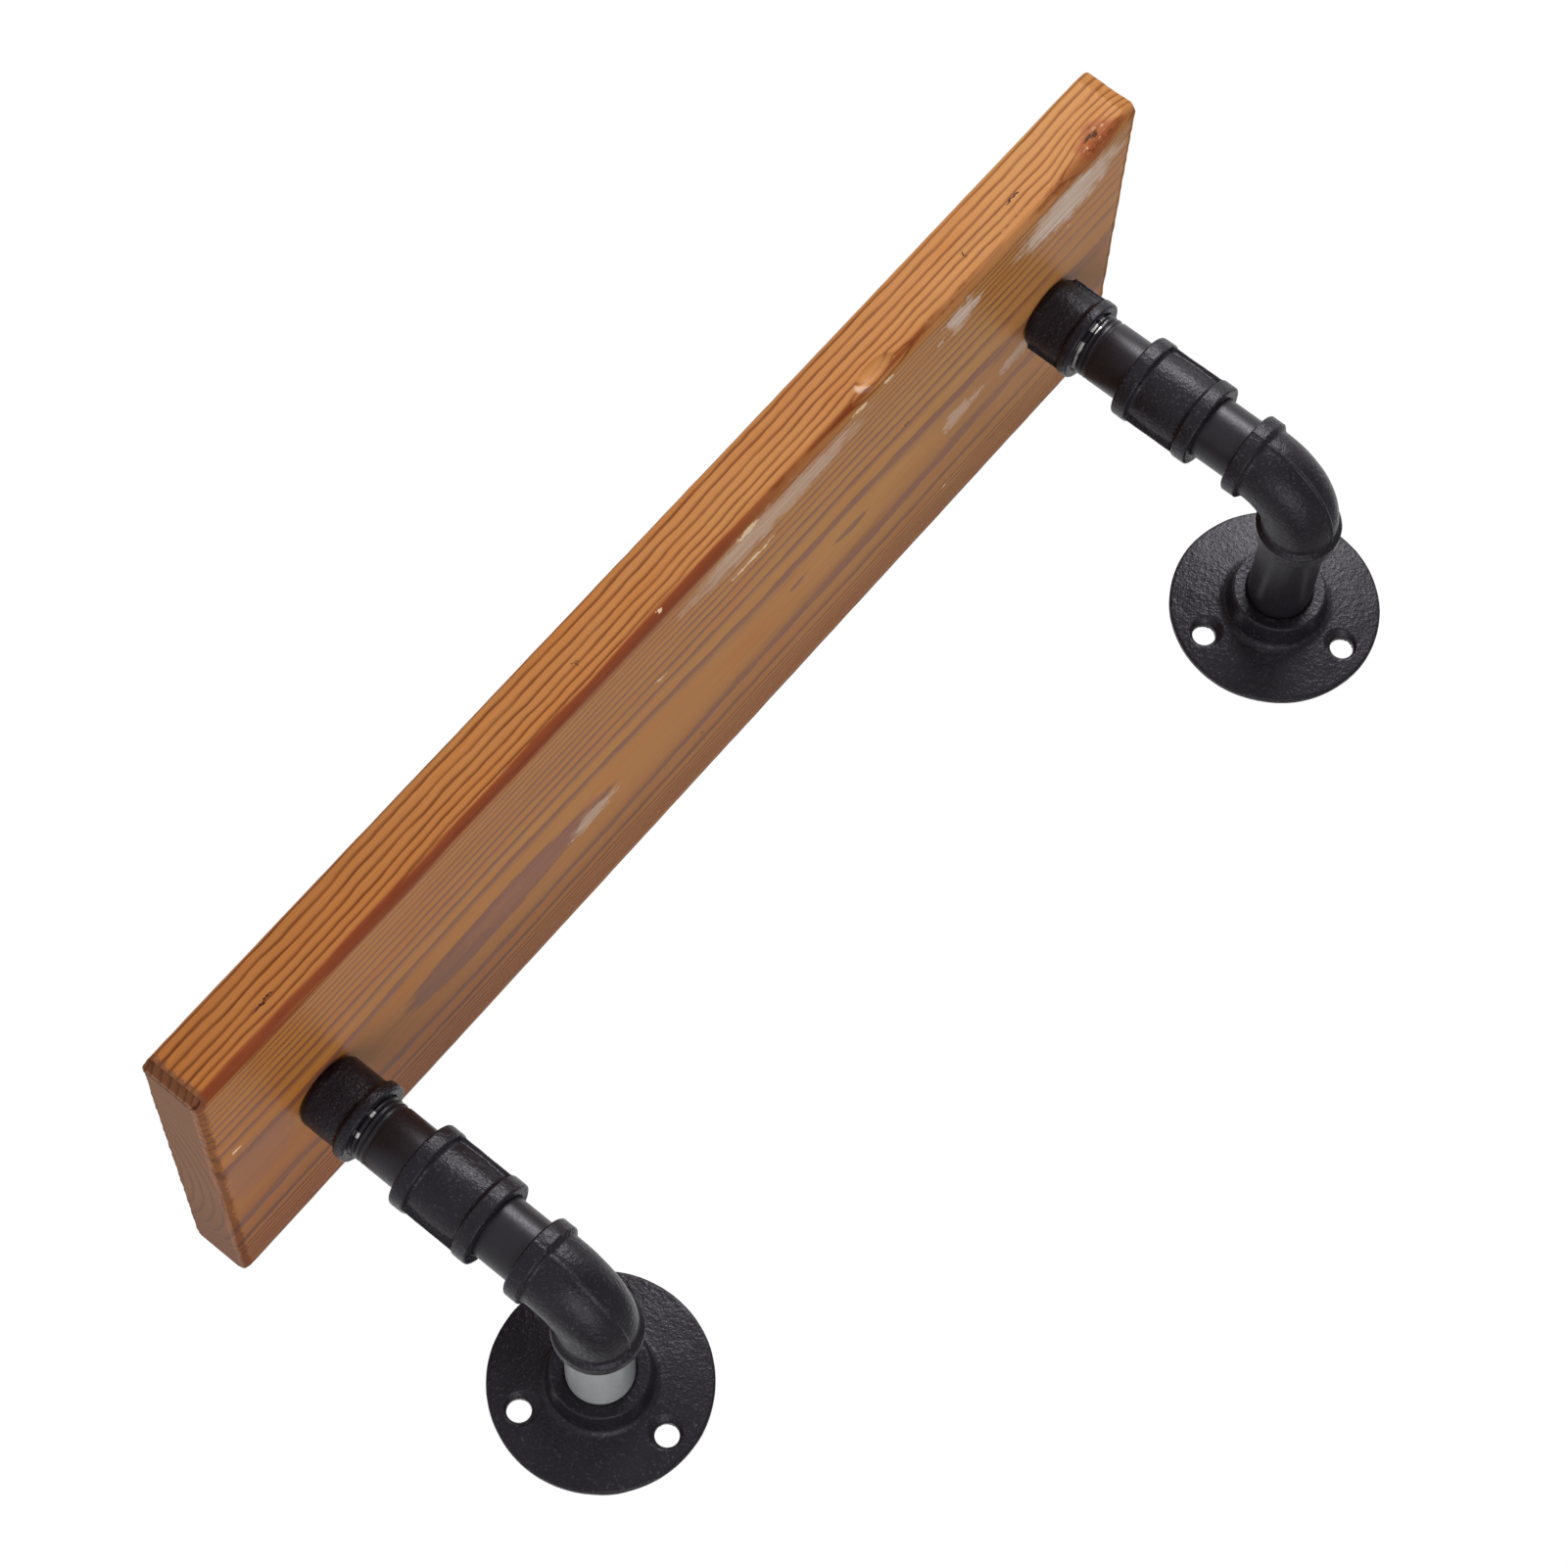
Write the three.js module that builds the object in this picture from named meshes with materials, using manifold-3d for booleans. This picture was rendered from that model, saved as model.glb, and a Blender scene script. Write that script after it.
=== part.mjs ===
// Pipe wall shelf: a softwood board that stands on two brackets of half-inch pipe and cast fittings.
// Millimetres, +Z up, +X along the board, +Y towards the wall. The wall is the plane y = 0.
// The origin lies on the wall, midway between the two wall flanges, at the height of their axes.
import * as THREE from "three";
import { mergeVertices } from "three/addons/utils/BufferGeometryUtils.js";
import Module from "manifold-3d";

const wasm = await Module();
wasm.setup();

// The board
const boardLength = 424;
const boardDepth = 148;
const boardThickness = 21;
const boardWallGap = 6;
const boardShift = -3.5; // the board's middle against the middle of the two brackets
const boardEdgeRadius = 2.6;
const boardEndChamfer = 1.3;

// Where the brackets stand
const bracketInset = 40.75; // from each end of an unshifted board to the axis of its bracket
const riserOffset = 80; // from the wall to the axis of the upright pipe

// The pipe that all nipples are cut from
const pipeRadius = 10.65;
const pipeWall = 2.6;
const pipeEndChamfer = 1;
const threadGrip = 11; // how far a nipple is screwed into a fitting
const lowerNippleShow = 13.4; // bare pipe between elbow and coupling
const upperNippleShow = 18; // bare pipe between coupling and cap

// The wall flange
const flangeRadius = 35;
const flangeRimHeight = 3;
const flangeRimRound = 0.9;
const flangeDomeRadius = 18.2; // where the plate turns up into the hub
const flangeDomeHeight = 5.2;
const flangeFootRadius = 16.6; // the hub just above that turn
const flangeFootHeight = 6.8;
const flangeFootRound = 1.5;
const flangeHubRadius = 15.5;
const flangeHubHeight = 15;
const flangeHubRound = 0.9;
const flangeHoleCircle = 26.2;
const flangeHoleRadius = 3.65;
const flangeSinkRadius = 5.4;
const flangeSinkDepth = 1.7;
const flangeHoleCount = 3;

// The elbow
const elbowReach = 24; // from the crossing of the two axes to each end
const elbowBendRadius = 17;
const elbowBodyRadius = 12.4;
const elbowBeadRadius = 14;
const elbowBeadWidth = 6;
const elbowBeadRound = 0.9;
const elbowSeamWidth = 1.1;
const elbowSeamHeight = 0.4;

// The coupling
const couplingLength = 29.6;
const couplingBandRadius = 14.6;
const couplingBandWidth = 5.8;
const couplingBandRound = 0.9;
const couplingWaistRadius = 13;
const couplingBellyRadius = 13.4; // the barrel's middle is a little fuller than its ends
const couplingRibRadius = 14;
const couplingRibWidth = 9.5;

// The cap
const capLength = 19;
const capBeadRadius = 14;
const capBeadWidth = 4.2;
const capBeadRound = 0.9;
const capBodyRadius = 12.5;
const capCrownRound = 2.4;
const capEndThickness = 4;
const capRibRadius = 13.5;
const capRibWidth = 5;
const capRibTopGap = 2.6; // from the rib's upper end to the crown

// The screw that holds the cap to the board
const screwRadius = 2;
const screwHeadRadius = 4;
const screwHeadHeight = 2.6;
const screwHeadRound = 1.2;
const screwLength = 18;
const screwPointLength = 4;
const screwSlotWidth = 1;
const screwSlotDepth = 1.3;
const screwHoleDepth = 16.5; // depth of the pilot hole in the board

// Clearances and cutting
const threadClearance = 0.1; // between a nipple and its socket
const seatGap = 0.1; // between two faces that rest on each other
const screwClearance = 0.25;
const mouthChamfer = 0.6; // at the opening of each socket
const overrun = 1; // how far a cutter runs past the face it cuts
const ribRoot = 1; // how deep a rib is let into the body under it
const weldDistance = 0.001;

// Directions, in degrees
const flangeTurns = { left: 0, right: 4 };
const couplingRibTurns = { left: -12, right: -27 };
const capRibTurns = { left: -83, right: -27 };

// Facets
const ringFacets = 28;
const passageFacets = 12;
const flangeFacets = 36;
const holeFacets = 16;
const cornerFacets = 2;
const bendSteps = 12;
const edgeFacets = 3;

// Places, heights and depths that follow from the sizes above
const bracketSpacing = boardLength - 2 * bracketInset;
const socketRadius = pipeRadius + threadClearance;
const boreRadius = pipeRadius - pipeWall;
const elbowTop = elbowReach;
const couplingBottom = elbowTop + lowerNippleShow;
const couplingTop = couplingBottom + couplingLength;
const capBottom = couplingTop + upperNippleShow;
const capTop = capBottom + capLength;
const boardUnderside = capTop + seatGap;
const elbowWallEnd = riserOffset - elbowReach; // distance from the wall to the elbow's near end

function material(name, colour, roughness, metalness) {
  const made = new THREE.MeshStandardMaterial({ color: colour, roughness, metalness });
  made.name = name;
  return made;
}

function stainedSoftwood() {
  return material("stained_softwood", 0xb9783f, 0.6, 0);
}

function blackCastIron() {
  return material("black_cast_iron", 0x2b292c, 0.62, 0.55);
}

function blackPipe() {
  return material("black_pipe", 0x242326, 0.4, 0.6);
}

function platedScrewSteel() {
  return material("plated_screw_steel", 0xb4b2a8, 0.35, 1);
}

// A three.js geometry as a solid that can be added to, cut or intersected
function solidFrom(geometry) {
  const bare = geometry.clone();
  bare.deleteAttribute("normal");
  bare.deleteAttribute("uv");
  const welded = mergeVertices(bare, weldDistance);
  const mesh = new wasm.Mesh({
    numProp: 3,
    vertProperties: welded.attributes.position.array,
    triVerts: new Uint32Array(welded.index.array),
  });
  return new wasm.Manifold(mesh);
}

function geometryFrom(solid) {
  const mesh = solid.getMesh();
  const geometry = new THREE.BufferGeometry();
  geometry.setAttribute("position", new THREE.BufferAttribute(mesh.vertProperties, mesh.numProp));
  geometry.setIndex(new THREE.BufferAttribute(mesh.triVerts, 1));
  geometry.computeVertexNormals();
  return geometry;
}

// The first geometry with the others added to it
function joined(first, others) {
  let solid = solidFrom(first);
  for (const other of others) {
    solid = solid.add(solidFrom(other));
  }
  return geometryFrom(solid);
}

// The first geometry with the others cut out of it
function cut(first, others) {
  let solid = solidFrom(first);
  for (const other of others) {
    solid = solid.subtract(solidFrom(other));
  }
  return geometryFrom(solid);
}

// One corner of an outline: radius from the axis, height along it, and how much it is rounded
function corner(radius, height, round = 0) {
  return { point: new THREE.Vector2(radius, height), round };
}

// The outline with each corner rounded off, as far as its two sides leave room
function roundedOutline(corners, closed) {
  const points = [];
  corners.forEach((here, index) => {
    const open = !closed && (index === 0 || index === corners.length - 1);
    if (open || here.round === 0) {
      points.push(here.point.clone());
      return;
    }
    const before = corners[(index + corners.length - 1) % corners.length].point;
    const after = corners[(index + 1) % corners.length].point;
    const room = Math.min(here.point.distanceTo(before), here.point.distanceTo(after)) / 2;
    const reach = Math.min(here.round, room);
    const start = before.clone().sub(here.point).setLength(reach).add(here.point);
    const end = after.clone().sub(here.point).setLength(reach).add(here.point);
    const bend = new THREE.QuadraticBezierCurve(start, here.point, end);
    points.push(...bend.getPoints(cornerFacets));
  });
  if (closed) {
    points.push(points[0].clone());
  }
  return points;
}

// A ring or sleeve turned about its own Y axis from a closed outline, anticlockwise
function turnedRing(corners, facets) {
  return new THREE.LatheGeometry(roundedOutline(corners, true), facets);
}

// A solid turned about its own Y axis from an outline that starts and ends on that axis
function turnedSolid(corners, facets) {
  return new THREE.LatheGeometry(roundedOutline(corners, false), facets);
}

// A mesh whose geometry was turned about Y, stood up along Z
function upright(geometry) {
  return geometry.rotateX(Math.PI / 2);
}

function named(name, geometry, surface) {
  const mesh = new THREE.Mesh(geometry, surface);
  mesh.name = name;
  return mesh;
}

// The outline of the board seen from its end, with soft long edges
function boardOutline() {
  const halfDepth = boardDepth / 2 - boardEndChamfer;
  const halfThickness = boardThickness / 2 - boardEndChamfer;
  const round = boardEdgeRadius - boardEndChamfer;
  const outline = new THREE.Shape();
  outline.moveTo(-halfDepth + round, -halfThickness);
  outline.lineTo(halfDepth - round, -halfThickness);
  outline.absarc(halfDepth - round, -halfThickness + round, round, -Math.PI / 2, 0);
  outline.absarc(halfDepth - round, halfThickness - round, round, 0, Math.PI / 2);
  outline.absarc(-halfDepth + round, halfThickness - round, round, Math.PI / 2, Math.PI);
  outline.absarc(-halfDepth + round, -halfThickness + round, round, Math.PI, 1.5 * Math.PI);
  return outline;
}

function shelfBoard() {
  const plank = new THREE.ExtrudeGeometry(boardOutline(), {
    depth: boardLength - 2 * boardEndChamfer,
    curveSegments: edgeFacets,
    bevelThickness: boardEndChamfer,
    bevelSize: boardEndChamfer,
    bevelSegments: 1,
  });
  plank.translate(0, 0, boardEndChamfer - boardLength / 2);
  plank.rotateZ(Math.PI / 2);
  plank.rotateY(Math.PI / 2);
  const middleY = -boardWallGap - boardDepth / 2;
  const middleZ = boardUnderside + boardThickness / 2;
  const pilotHoles = [-bracketSpacing / 2, bracketSpacing / 2].map((x) => {
    const hole = turnedSolid(
      [
        corner(0, -overrun),
        corner(screwRadius + threadClearance, -overrun),
        corner(screwRadius + threadClearance, screwHoleDepth),
        corner(0, screwHoleDepth + screwRadius),
      ],
      holeFacets,
    );
    return upright(hole).translate(x - boardShift, -riserOffset - middleY, -boardThickness / 2);
  });
  const board = named("shelf_board", cut(plank, pilotHoles), stainedSoftwood());
  board.position.set(boardShift, middleY, middleZ);
  return board;
}

// Domed plate with a threaded hub and three countersunk screw holes, its back on the wall
function wallFlange(side) {
  const plate = turnedRing(
    [
      corner(socketRadius, 0),
      corner(flangeRadius, 0, flangeRimRound),
      corner(flangeRadius, flangeRimHeight, flangeRimRound),
      corner(flangeDomeRadius, flangeDomeHeight),
      corner(flangeFootRadius, flangeFootHeight, flangeFootRound),
      corner(flangeHubRadius, flangeHubHeight, flangeHubRound),
      corner(socketRadius + mouthChamfer, flangeHubHeight),
      corner(socketRadius, flangeHubHeight - mouthChamfer),
    ],
    flangeFacets,
  );
  const slope = (flangeDomeHeight - flangeRimHeight) / (flangeRadius - flangeDomeRadius);
  const faceHeight = flangeRimHeight + slope * (flangeRadius - flangeHoleCircle);
  const sinkWidening = flangeSinkRadius - flangeHoleRadius;
  const sinkRun = overrun * (sinkWidening / flangeSinkDepth);
  const holes = [];
  for (let index = 0; index < flangeHoleCount; index += 1) {
    const hole = turnedSolid(
      [
        corner(0, -overrun),
        corner(flangeHoleRadius, -overrun),
        corner(flangeHoleRadius, faceHeight - flangeSinkDepth),
        corner(flangeSinkRadius + sinkRun, faceHeight + overrun),
        corner(0, faceHeight + overrun),
      ],
      holeFacets,
    );
    hole.translate(0, 0, flangeHoleCircle);
    hole.rotateY((index * 2 * Math.PI) / flangeHoleCount);
    holes.push(hole);
  }
  const flange = named("wall_flange_" + side, cut(plate, holes), blackCastIron());
  flange.rotation.set(Math.PI, THREE.MathUtils.degToRad(flangeTurns[side]), 0);
  return flange;
}

// A length of pipe along its own Y axis, from zero up, chamfered at both ends
function nippleGeometry(length) {
  return turnedRing(
    [
      corner(boreRadius, 0),
      corner(pipeRadius - pipeEndChamfer, 0),
      corner(pipeRadius, pipeEndChamfer),
      corner(pipeRadius, length - pipeEndChamfer),
      corner(pipeRadius - pipeEndChamfer, length),
      corner(boreRadius, length),
    ],
    ringFacets,
  );
}

function wallNipple(side) {
  const near = flangeHubHeight - threadGrip;
  const far = elbowWallEnd + threadGrip;
  const nipple = named("wall_nipple_" + side, nippleGeometry(far - near), blackPipe());
  nipple.rotation.x = Math.PI;
  nipple.position.y = -near;
  return nipple;
}

function lowerNipple(side) {
  const bottom = elbowTop - threadGrip;
  const length = couplingBottom + threadGrip - bottom;
  const nipple = named("lower_nipple_" + side, upright(nippleGeometry(length)), blackPipe());
  nipple.position.z = bottom;
  return nipple;
}

function upperNipple(side) {
  const bottom = couplingTop - threadGrip;
  const length = capBottom + threadGrip - bottom;
  const nipple = named("upper_nipple_" + side, upright(nippleGeometry(length)), blackPipe());
  nipple.position.z = bottom;
  return nipple;
}

// The elbow's centre line from the end that faces the wall, round the bend, and up
class BendLine extends THREE.Curve {
  constructor(inset) {
    super();
    this.straight = elbowReach - elbowBendRadius - inset;
  }

  getPoint(share, target = new THREE.Vector3()) {
    const arcLength = (elbowBendRadius * Math.PI) / 2;
    const travelled = share * (2 * this.straight + arcLength);
    if (travelled < this.straight) {
      return target.set(0, elbowBendRadius + this.straight - travelled, 0);
    }
    if (travelled > this.straight + arcLength) {
      const rise = travelled - this.straight - arcLength;
      return target.set(0, 0, elbowBendRadius + rise);
    }
    const angle = (travelled - this.straight) / elbowBendRadius;
    const y = elbowBendRadius * (1 - Math.sin(angle));
    const z = elbowBendRadius * (1 - Math.cos(angle));
    return target.set(0, y, z);
  }
}

// A round bar that follows the bend and stops short of both ends of the elbow
function bentBar(radius, inset, facets) {
  const section = new THREE.Shape().absarc(0, 0, radius, 0, 2 * Math.PI);
  return new THREE.ExtrudeGeometry(section, {
    steps: bendSteps,
    curveSegments: facets / 2,
    extrudePath: new BendLine(inset),
  });
}

// The raised casting seam round the back of the bend, a thin quarter ring in the plane of the elbow
function elbowSeam() {
  const inner = elbowBendRadius + elbowBodyRadius - ribRoot;
  const outer = elbowBendRadius + elbowBodyRadius + elbowSeamHeight;
  const outline = new THREE.Shape();
  outline.absarc(0, 0, outer, Math.PI, 1.5 * Math.PI);
  outline.absarc(0, 0, inner, 1.5 * Math.PI, Math.PI, true);
  const seam = new THREE.ExtrudeGeometry(outline, {
    depth: elbowSeamWidth,
    curveSegments: bendSteps / 2,
    bevelEnabled: false,
  });
  seam.translate(elbowBendRadius, elbowBendRadius, -elbowSeamWidth / 2);
  seam.rotateZ(Math.PI / 2);
  seam.rotateY(Math.PI / 2);
  return seam;
}

// The same ring or cutter at both ends of the elbow, from one that stands on the elbow's own axis
function atBothEnds(geometry) {
  return [geometry.clone(), upright(geometry.clone())];
}

function elbow(side) {
  const bead = turnedRing(
    [
      corner(boreRadius, elbowReach - elbowBeadWidth),
      corner(elbowBeadRadius, elbowReach - elbowBeadWidth, elbowBeadRound),
      corner(elbowBeadRadius, elbowReach, elbowBeadRound),
      corner(boreRadius, elbowReach),
    ],
    ringFacets,
  );
  const socket = turnedSolid(
    [
      corner(0, elbowReach - threadGrip - seatGap),
      corner(socketRadius, elbowReach - threadGrip - seatGap),
      corner(socketRadius, elbowReach - mouthChamfer),
      corner(socketRadius + mouthChamfer + overrun, elbowReach + overrun),
      corner(0, elbowReach + overrun),
    ],
    ringFacets,
  );
  const body = bentBar(elbowBodyRadius, elbowBeadWidth / 2, ringFacets);
  const casting = joined(body, [...atBothEnds(bead), elbowSeam()]);
  const passage = bentBar(boreRadius, elbowBeadWidth, passageFacets);
  const hollow = cut(casting, [...atBothEnds(socket), passage]);
  const made = named("elbow_" + side, hollow, blackCastIron());
  made.position.y = -riserOffset;
  return made;
}

// Two opposite flat-topped ribs along the Y axis, from one height to another
function ribPair(topRadius, bodyRadius, width, from, to) {
  const height = topRadius - bodyRadius + ribRoot;
  return [-1, 1].map((way) => {
    const rib = new THREE.BoxGeometry(height, to - from, width);
    return rib.translate(way * (topRadius - height / 2), (from + to) / 2, 0);
  });
}

function coupling(side) {
  const lowerBand = couplingBandWidth;
  const upperBand = couplingLength - couplingBandWidth;
  const barrel = turnedRing(
    [
      corner(socketRadius + mouthChamfer, 0),
      corner(couplingBandRadius, 0, couplingBandRound),
      corner(couplingBandRadius, lowerBand, couplingBandRound),
      corner(couplingWaistRadius, lowerBand),
      corner(couplingBellyRadius, couplingLength / 2, couplingLength),
      corner(couplingWaistRadius, upperBand),
      corner(couplingBandRadius, upperBand, couplingBandRound),
      corner(couplingBandRadius, couplingLength, couplingBandRound),
      corner(socketRadius + mouthChamfer, couplingLength),
      corner(socketRadius, couplingLength - mouthChamfer),
      corner(socketRadius, mouthChamfer),
    ],
    ringFacets,
  );
  const from = couplingBandWidth / 2;
  const to = couplingLength - from;
  const ribs = ribPair(couplingRibRadius, couplingWaistRadius, couplingRibWidth, from, to);
  const made = named("coupling_" + side, upright(joined(barrel, ribs)), blackCastIron());
  made.rotation.z = THREE.MathUtils.degToRad(couplingRibTurns[side]);
  made.position.set(0, -riserOffset, couplingBottom);
  return made;
}

function pipeCap(side) {
  const hollowTop = capLength - capEndThickness;
  const holeRadius = screwRadius + screwClearance;
  const shell = turnedRing(
    [
      corner(socketRadius + mouthChamfer, 0),
      corner(capBeadRadius, 0, capBeadRound),
      corner(capBeadRadius, capBeadWidth, capBeadRound),
      corner(capBodyRadius, capBeadWidth),
      corner(capBodyRadius, capLength, capCrownRound),
      corner(holeRadius, capLength),
      corner(holeRadius, hollowTop),
      corner(socketRadius, hollowTop, mouthChamfer),
      corner(socketRadius, mouthChamfer),
    ],
    ringFacets,
  );
  const from = capBeadWidth / 2;
  const to = capLength - capRibTopGap;
  const ribs = ribPair(capRibRadius, capBodyRadius, capRibWidth, from, to);
  const made = named("pipe_cap_" + side, upright(joined(shell, ribs)), blackCastIron());
  made.rotation.z = THREE.MathUtils.degToRad(capRibTurns[side]);
  made.position.set(0, -riserOffset, capBottom);
  return made;
}

// A round-headed wood screw that stands in the cap and runs up into the board
function capScrew(side) {
  const blank = turnedSolid(
    [
      corner(0, -screwHeadHeight),
      corner(screwHeadRadius, -screwHeadHeight, screwHeadRound),
      corner(screwHeadRadius, 0),
      corner(screwRadius, 0),
      corner(screwRadius, screwLength - screwPointLength),
      corner(0, screwLength),
    ],
    holeFacets,
  );
  const slots = [0, Math.PI / 2].map((turn) => {
    const slot = new THREE.BoxGeometry(
      2 * (screwHeadRadius - screwHeadRound),
      screwSlotDepth + overrun,
      screwSlotWidth,
    );
    slot.translate(0, (screwSlotDepth - overrun) / 2 - screwHeadHeight, 0);
    return slot.rotateY(turn);
  });
  const made = named("cap_screw_" + side, upright(cut(blank, slots)), platedScrewSteel());
  made.position.set(0, -riserOffset, capTop - capEndThickness - seatGap);
  return made;
}

function bracket(side, x) {
  const group = new THREE.Group();
  group.name = "bracket_" + side;
  const riser = [lowerNipple(side), upperNipple(side)];
  riser.forEach((nipple) => {
    nipple.position.y = -riserOffset;
  });
  group.add(wallFlange(side), wallNipple(side), elbow(side), ...riser);
  group.add(coupling(side), pipeCap(side), capScrew(side));
  group.position.x = x;
  return group;
}

const shelf = new THREE.Group();
shelf.name = "pipe_wall_shelf";
shelf.add(shelfBoard());
shelf.add(bracket("left", -bracketSpacing / 2));
shelf.add(bracket("right", bracketSpacing / 2));

export default shelf;
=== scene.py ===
import math
from functools import partial

import bpy
from mathutils import Matrix, Vector


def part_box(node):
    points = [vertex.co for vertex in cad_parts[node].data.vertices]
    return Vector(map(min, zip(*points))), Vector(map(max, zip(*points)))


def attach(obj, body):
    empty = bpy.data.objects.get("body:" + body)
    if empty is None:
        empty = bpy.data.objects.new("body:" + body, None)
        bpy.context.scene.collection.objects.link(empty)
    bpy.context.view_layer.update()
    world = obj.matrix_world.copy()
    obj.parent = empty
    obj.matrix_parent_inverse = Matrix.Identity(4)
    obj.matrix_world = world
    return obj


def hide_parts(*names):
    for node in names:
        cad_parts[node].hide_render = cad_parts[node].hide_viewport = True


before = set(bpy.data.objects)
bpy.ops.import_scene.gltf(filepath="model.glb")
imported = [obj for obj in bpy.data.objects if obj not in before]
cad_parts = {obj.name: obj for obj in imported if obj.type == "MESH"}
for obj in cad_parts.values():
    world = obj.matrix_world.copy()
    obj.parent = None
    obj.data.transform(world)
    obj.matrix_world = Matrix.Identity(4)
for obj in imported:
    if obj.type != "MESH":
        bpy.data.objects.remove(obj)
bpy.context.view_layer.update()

# Metres. +X along the board, +Y into the wall, +Z up. The wall is the plane y = 0.

sides = ("left", "right")
boardLow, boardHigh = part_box("shelf_board")
past = 0.001   # how far a cutter or a sunken part reaches past a surface


# small helpers for working as by hand

def setMode(mode):
    bpy.ops.object.mode_set(mode=mode)


def selectAll():
    bpy.ops.mesh.select_all(action="SELECT")


def deselectAll():
    if bpy.context.object and bpy.context.object.mode == "EDIT":
        setMode("OBJECT")
    bpy.ops.object.select_all(action="DESELECT")


def pickUp(piece):
    deselectAll()
    piece.select_set(True)
    bpy.context.view_layer.objects.active = piece


def startMarking(kind):
    # nothing is marked any more, and marks can be set from outside edit mode
    setMode("EDIT")
    bpy.ops.mesh.select_mode(type=kind)
    bpy.ops.mesh.select_all(action="DESELECT")
    setMode("OBJECT")


def selectWhere(piece, test, kind="VERT"):
    # marks the vertices that pass the test, or the faces between them
    startMarking("VERT")
    for vertex in piece.data.vertices:
        vertex.select = test(vertex.co)
    setMode("EDIT")
    bpy.ops.mesh.select_mode(type=kind)


def applyModifier(piece, kind, settings):
    pickUp(piece)
    modifier = piece.modifiers.new(kind.title(), kind)
    for key, value in settings.items():
        setattr(modifier, key, value)
    bpy.ops.object.modifier_apply(modifier=modifier.name)


def applyPlace(piece):
    pickUp(piece)
    bpy.ops.object.transform_apply(location=True, rotation=True, scale=True)


def putAt(piece, place=(0, 0, 0), turn=(0, 0, 0)):
    # the turn is in degrees round X, Y and Z
    piece.rotation_euler = [math.radians(angle) for angle in turn]
    piece.location = place
    applyPlace(piece)


def startPiece(name, operator, **settings):
    # the operator adds a ring, a cube or a ball
    deselectAll()
    operator(**settings)
    piece = bpy.context.object
    piece.name = name
    applyPlace(piece)
    return piece


def copyPiece(piece, name, place, turn=(0, 0, 0)):
    pickUp(piece)
    bpy.ops.object.duplicate()
    copy = bpy.context.object
    copy.name = name
    putAt(copy, place, turn)
    return copy


def deletePiece(piece):
    pickUp(piece)
    bpy.ops.object.delete()


# One turned or bent piece: a ring of edges is extruded step by step.
# ("go", radius, distance) moves on along the axis, ("turn", degrees, bendRadius, steps) goes round a bend in +Y.
def extrudeRings(name, ringSides, radius, height, steps):
    piece = startPiece(name, bpy.ops.mesh.primitive_circle_add, vertices=ringSides, radius=radius,
                       location=(0, 0, height))
    middle = Vector((0, 0, height))
    ahead = Vector((0, 0, 1))
    setMode("EDIT")
    selectAll()
    for kind, *sizes in steps:
        if kind == "go":
            nextRadius, distance = sizes
            move = ahead * distance
            bpy.ops.mesh.extrude_edges_move(TRANSFORM_OT_translate={"value": move})
            middle = middle + move
            growth = nextRadius / radius
            bpy.ops.transform.resize(value=(growth, growth, growth), center_override=middle)
            radius = nextRadius
        else:
            degrees, bendRadius, count = sizes
            side = Matrix.Rotation(math.radians(90), 3, "X") @ ahead
            pivot = middle - side * bendRadius
            angle = math.radians(degrees)
            bpy.ops.mesh.spin(steps=count, angle=angle, center=pivot, axis=(1, 0, 0))
            roll = Matrix.Rotation(-angle, 3, "X")
            middle = pivot + roll @ (middle - pivot)
            ahead = roll @ ahead
    return piece


def closeRings(piece):
    # the last ring has come back to the first one
    selectAll()
    bpy.ops.mesh.remove_doubles(threshold=0.000002)
    bpy.ops.mesh.normals_make_consistent(inside=False)
    setMode("OBJECT")
    return piece


def capEnds(piece):
    # both open ends get a face
    bpy.ops.mesh.select_mode(type="EDGE")
    bpy.ops.mesh.select_all(action="DESELECT")
    bpy.ops.mesh.select_non_manifold()
    bpy.ops.mesh.fill_holes(sides=0)
    bpy.ops.mesh.select_mode(type="VERT")
    return closeRings(piece)


def goThrough(rings):
    # (radius, height) pairs as the steps that extrudeRings takes
    return [("go", radius, height - before[1]) for before, (radius, height) in zip(rings, rings[1:])]


def turnedSleeve(name, ringSides, rings):
    rings = rings + [rings[0]]
    return closeRings(extrudeRings(name, ringSides, *rings[0], goThrough(rings)))


def turnedPlug(name, ringSides, rings):
    return capEnds(extrudeRings(name, ringSides, *rings[0], goThrough(rings)))


def cutAway(piece, plug):
    applyModifier(piece, "BOOLEAN", {"object": plug, "operation": "DIFFERENCE", "solver": "EXACT"})
    deletePiece(plug)


def joinTo(piece, others):
    pickUp(piece)
    for other in others:
        other.select_set(True)
    bpy.ops.object.join()


def makeBlock(name, middle, size, softness):
    # a block with all its edges rounded
    block = startPiece(name, bpy.ops.mesh.primitive_cube_add, size=1, location=middle, scale=size)
    setMode("EDIT")
    selectAll()
    bpy.ops.mesh.bevel(offset=softness, segments=3, affect="EDGES")
    setMode("OBJECT")
    return block


# materials

def linear(hexColour):
    # sRGB hex to linear RGBA
    values = [int(hexColour[index:index + 2], 16) / 255 for index in (1, 3, 5)]
    return [v / 12.92 if v <= 0.04045 else ((v + 0.055) / 1.055) ** 2.4 for v in values] + [1.0]


def fillIn(node, settings, links={}):
    # a setting is the node's own, or an input's value, or a pair for both ends of a range, such as "From"
    for key, value in settings.items():
        if isinstance(key, str) and hasattr(node, key):
            setattr(node, key, value)
        elif isinstance(key, str) and key + " Min" in node.inputs:
            node.inputs[key + " Min"].default_value, node.inputs[key + " Max"].default_value = value
        else:
            node.inputs[key].default_value = value
    for key, socket in links.items():
        node.id_data.links.new(socket, node.inputs[key])


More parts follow.
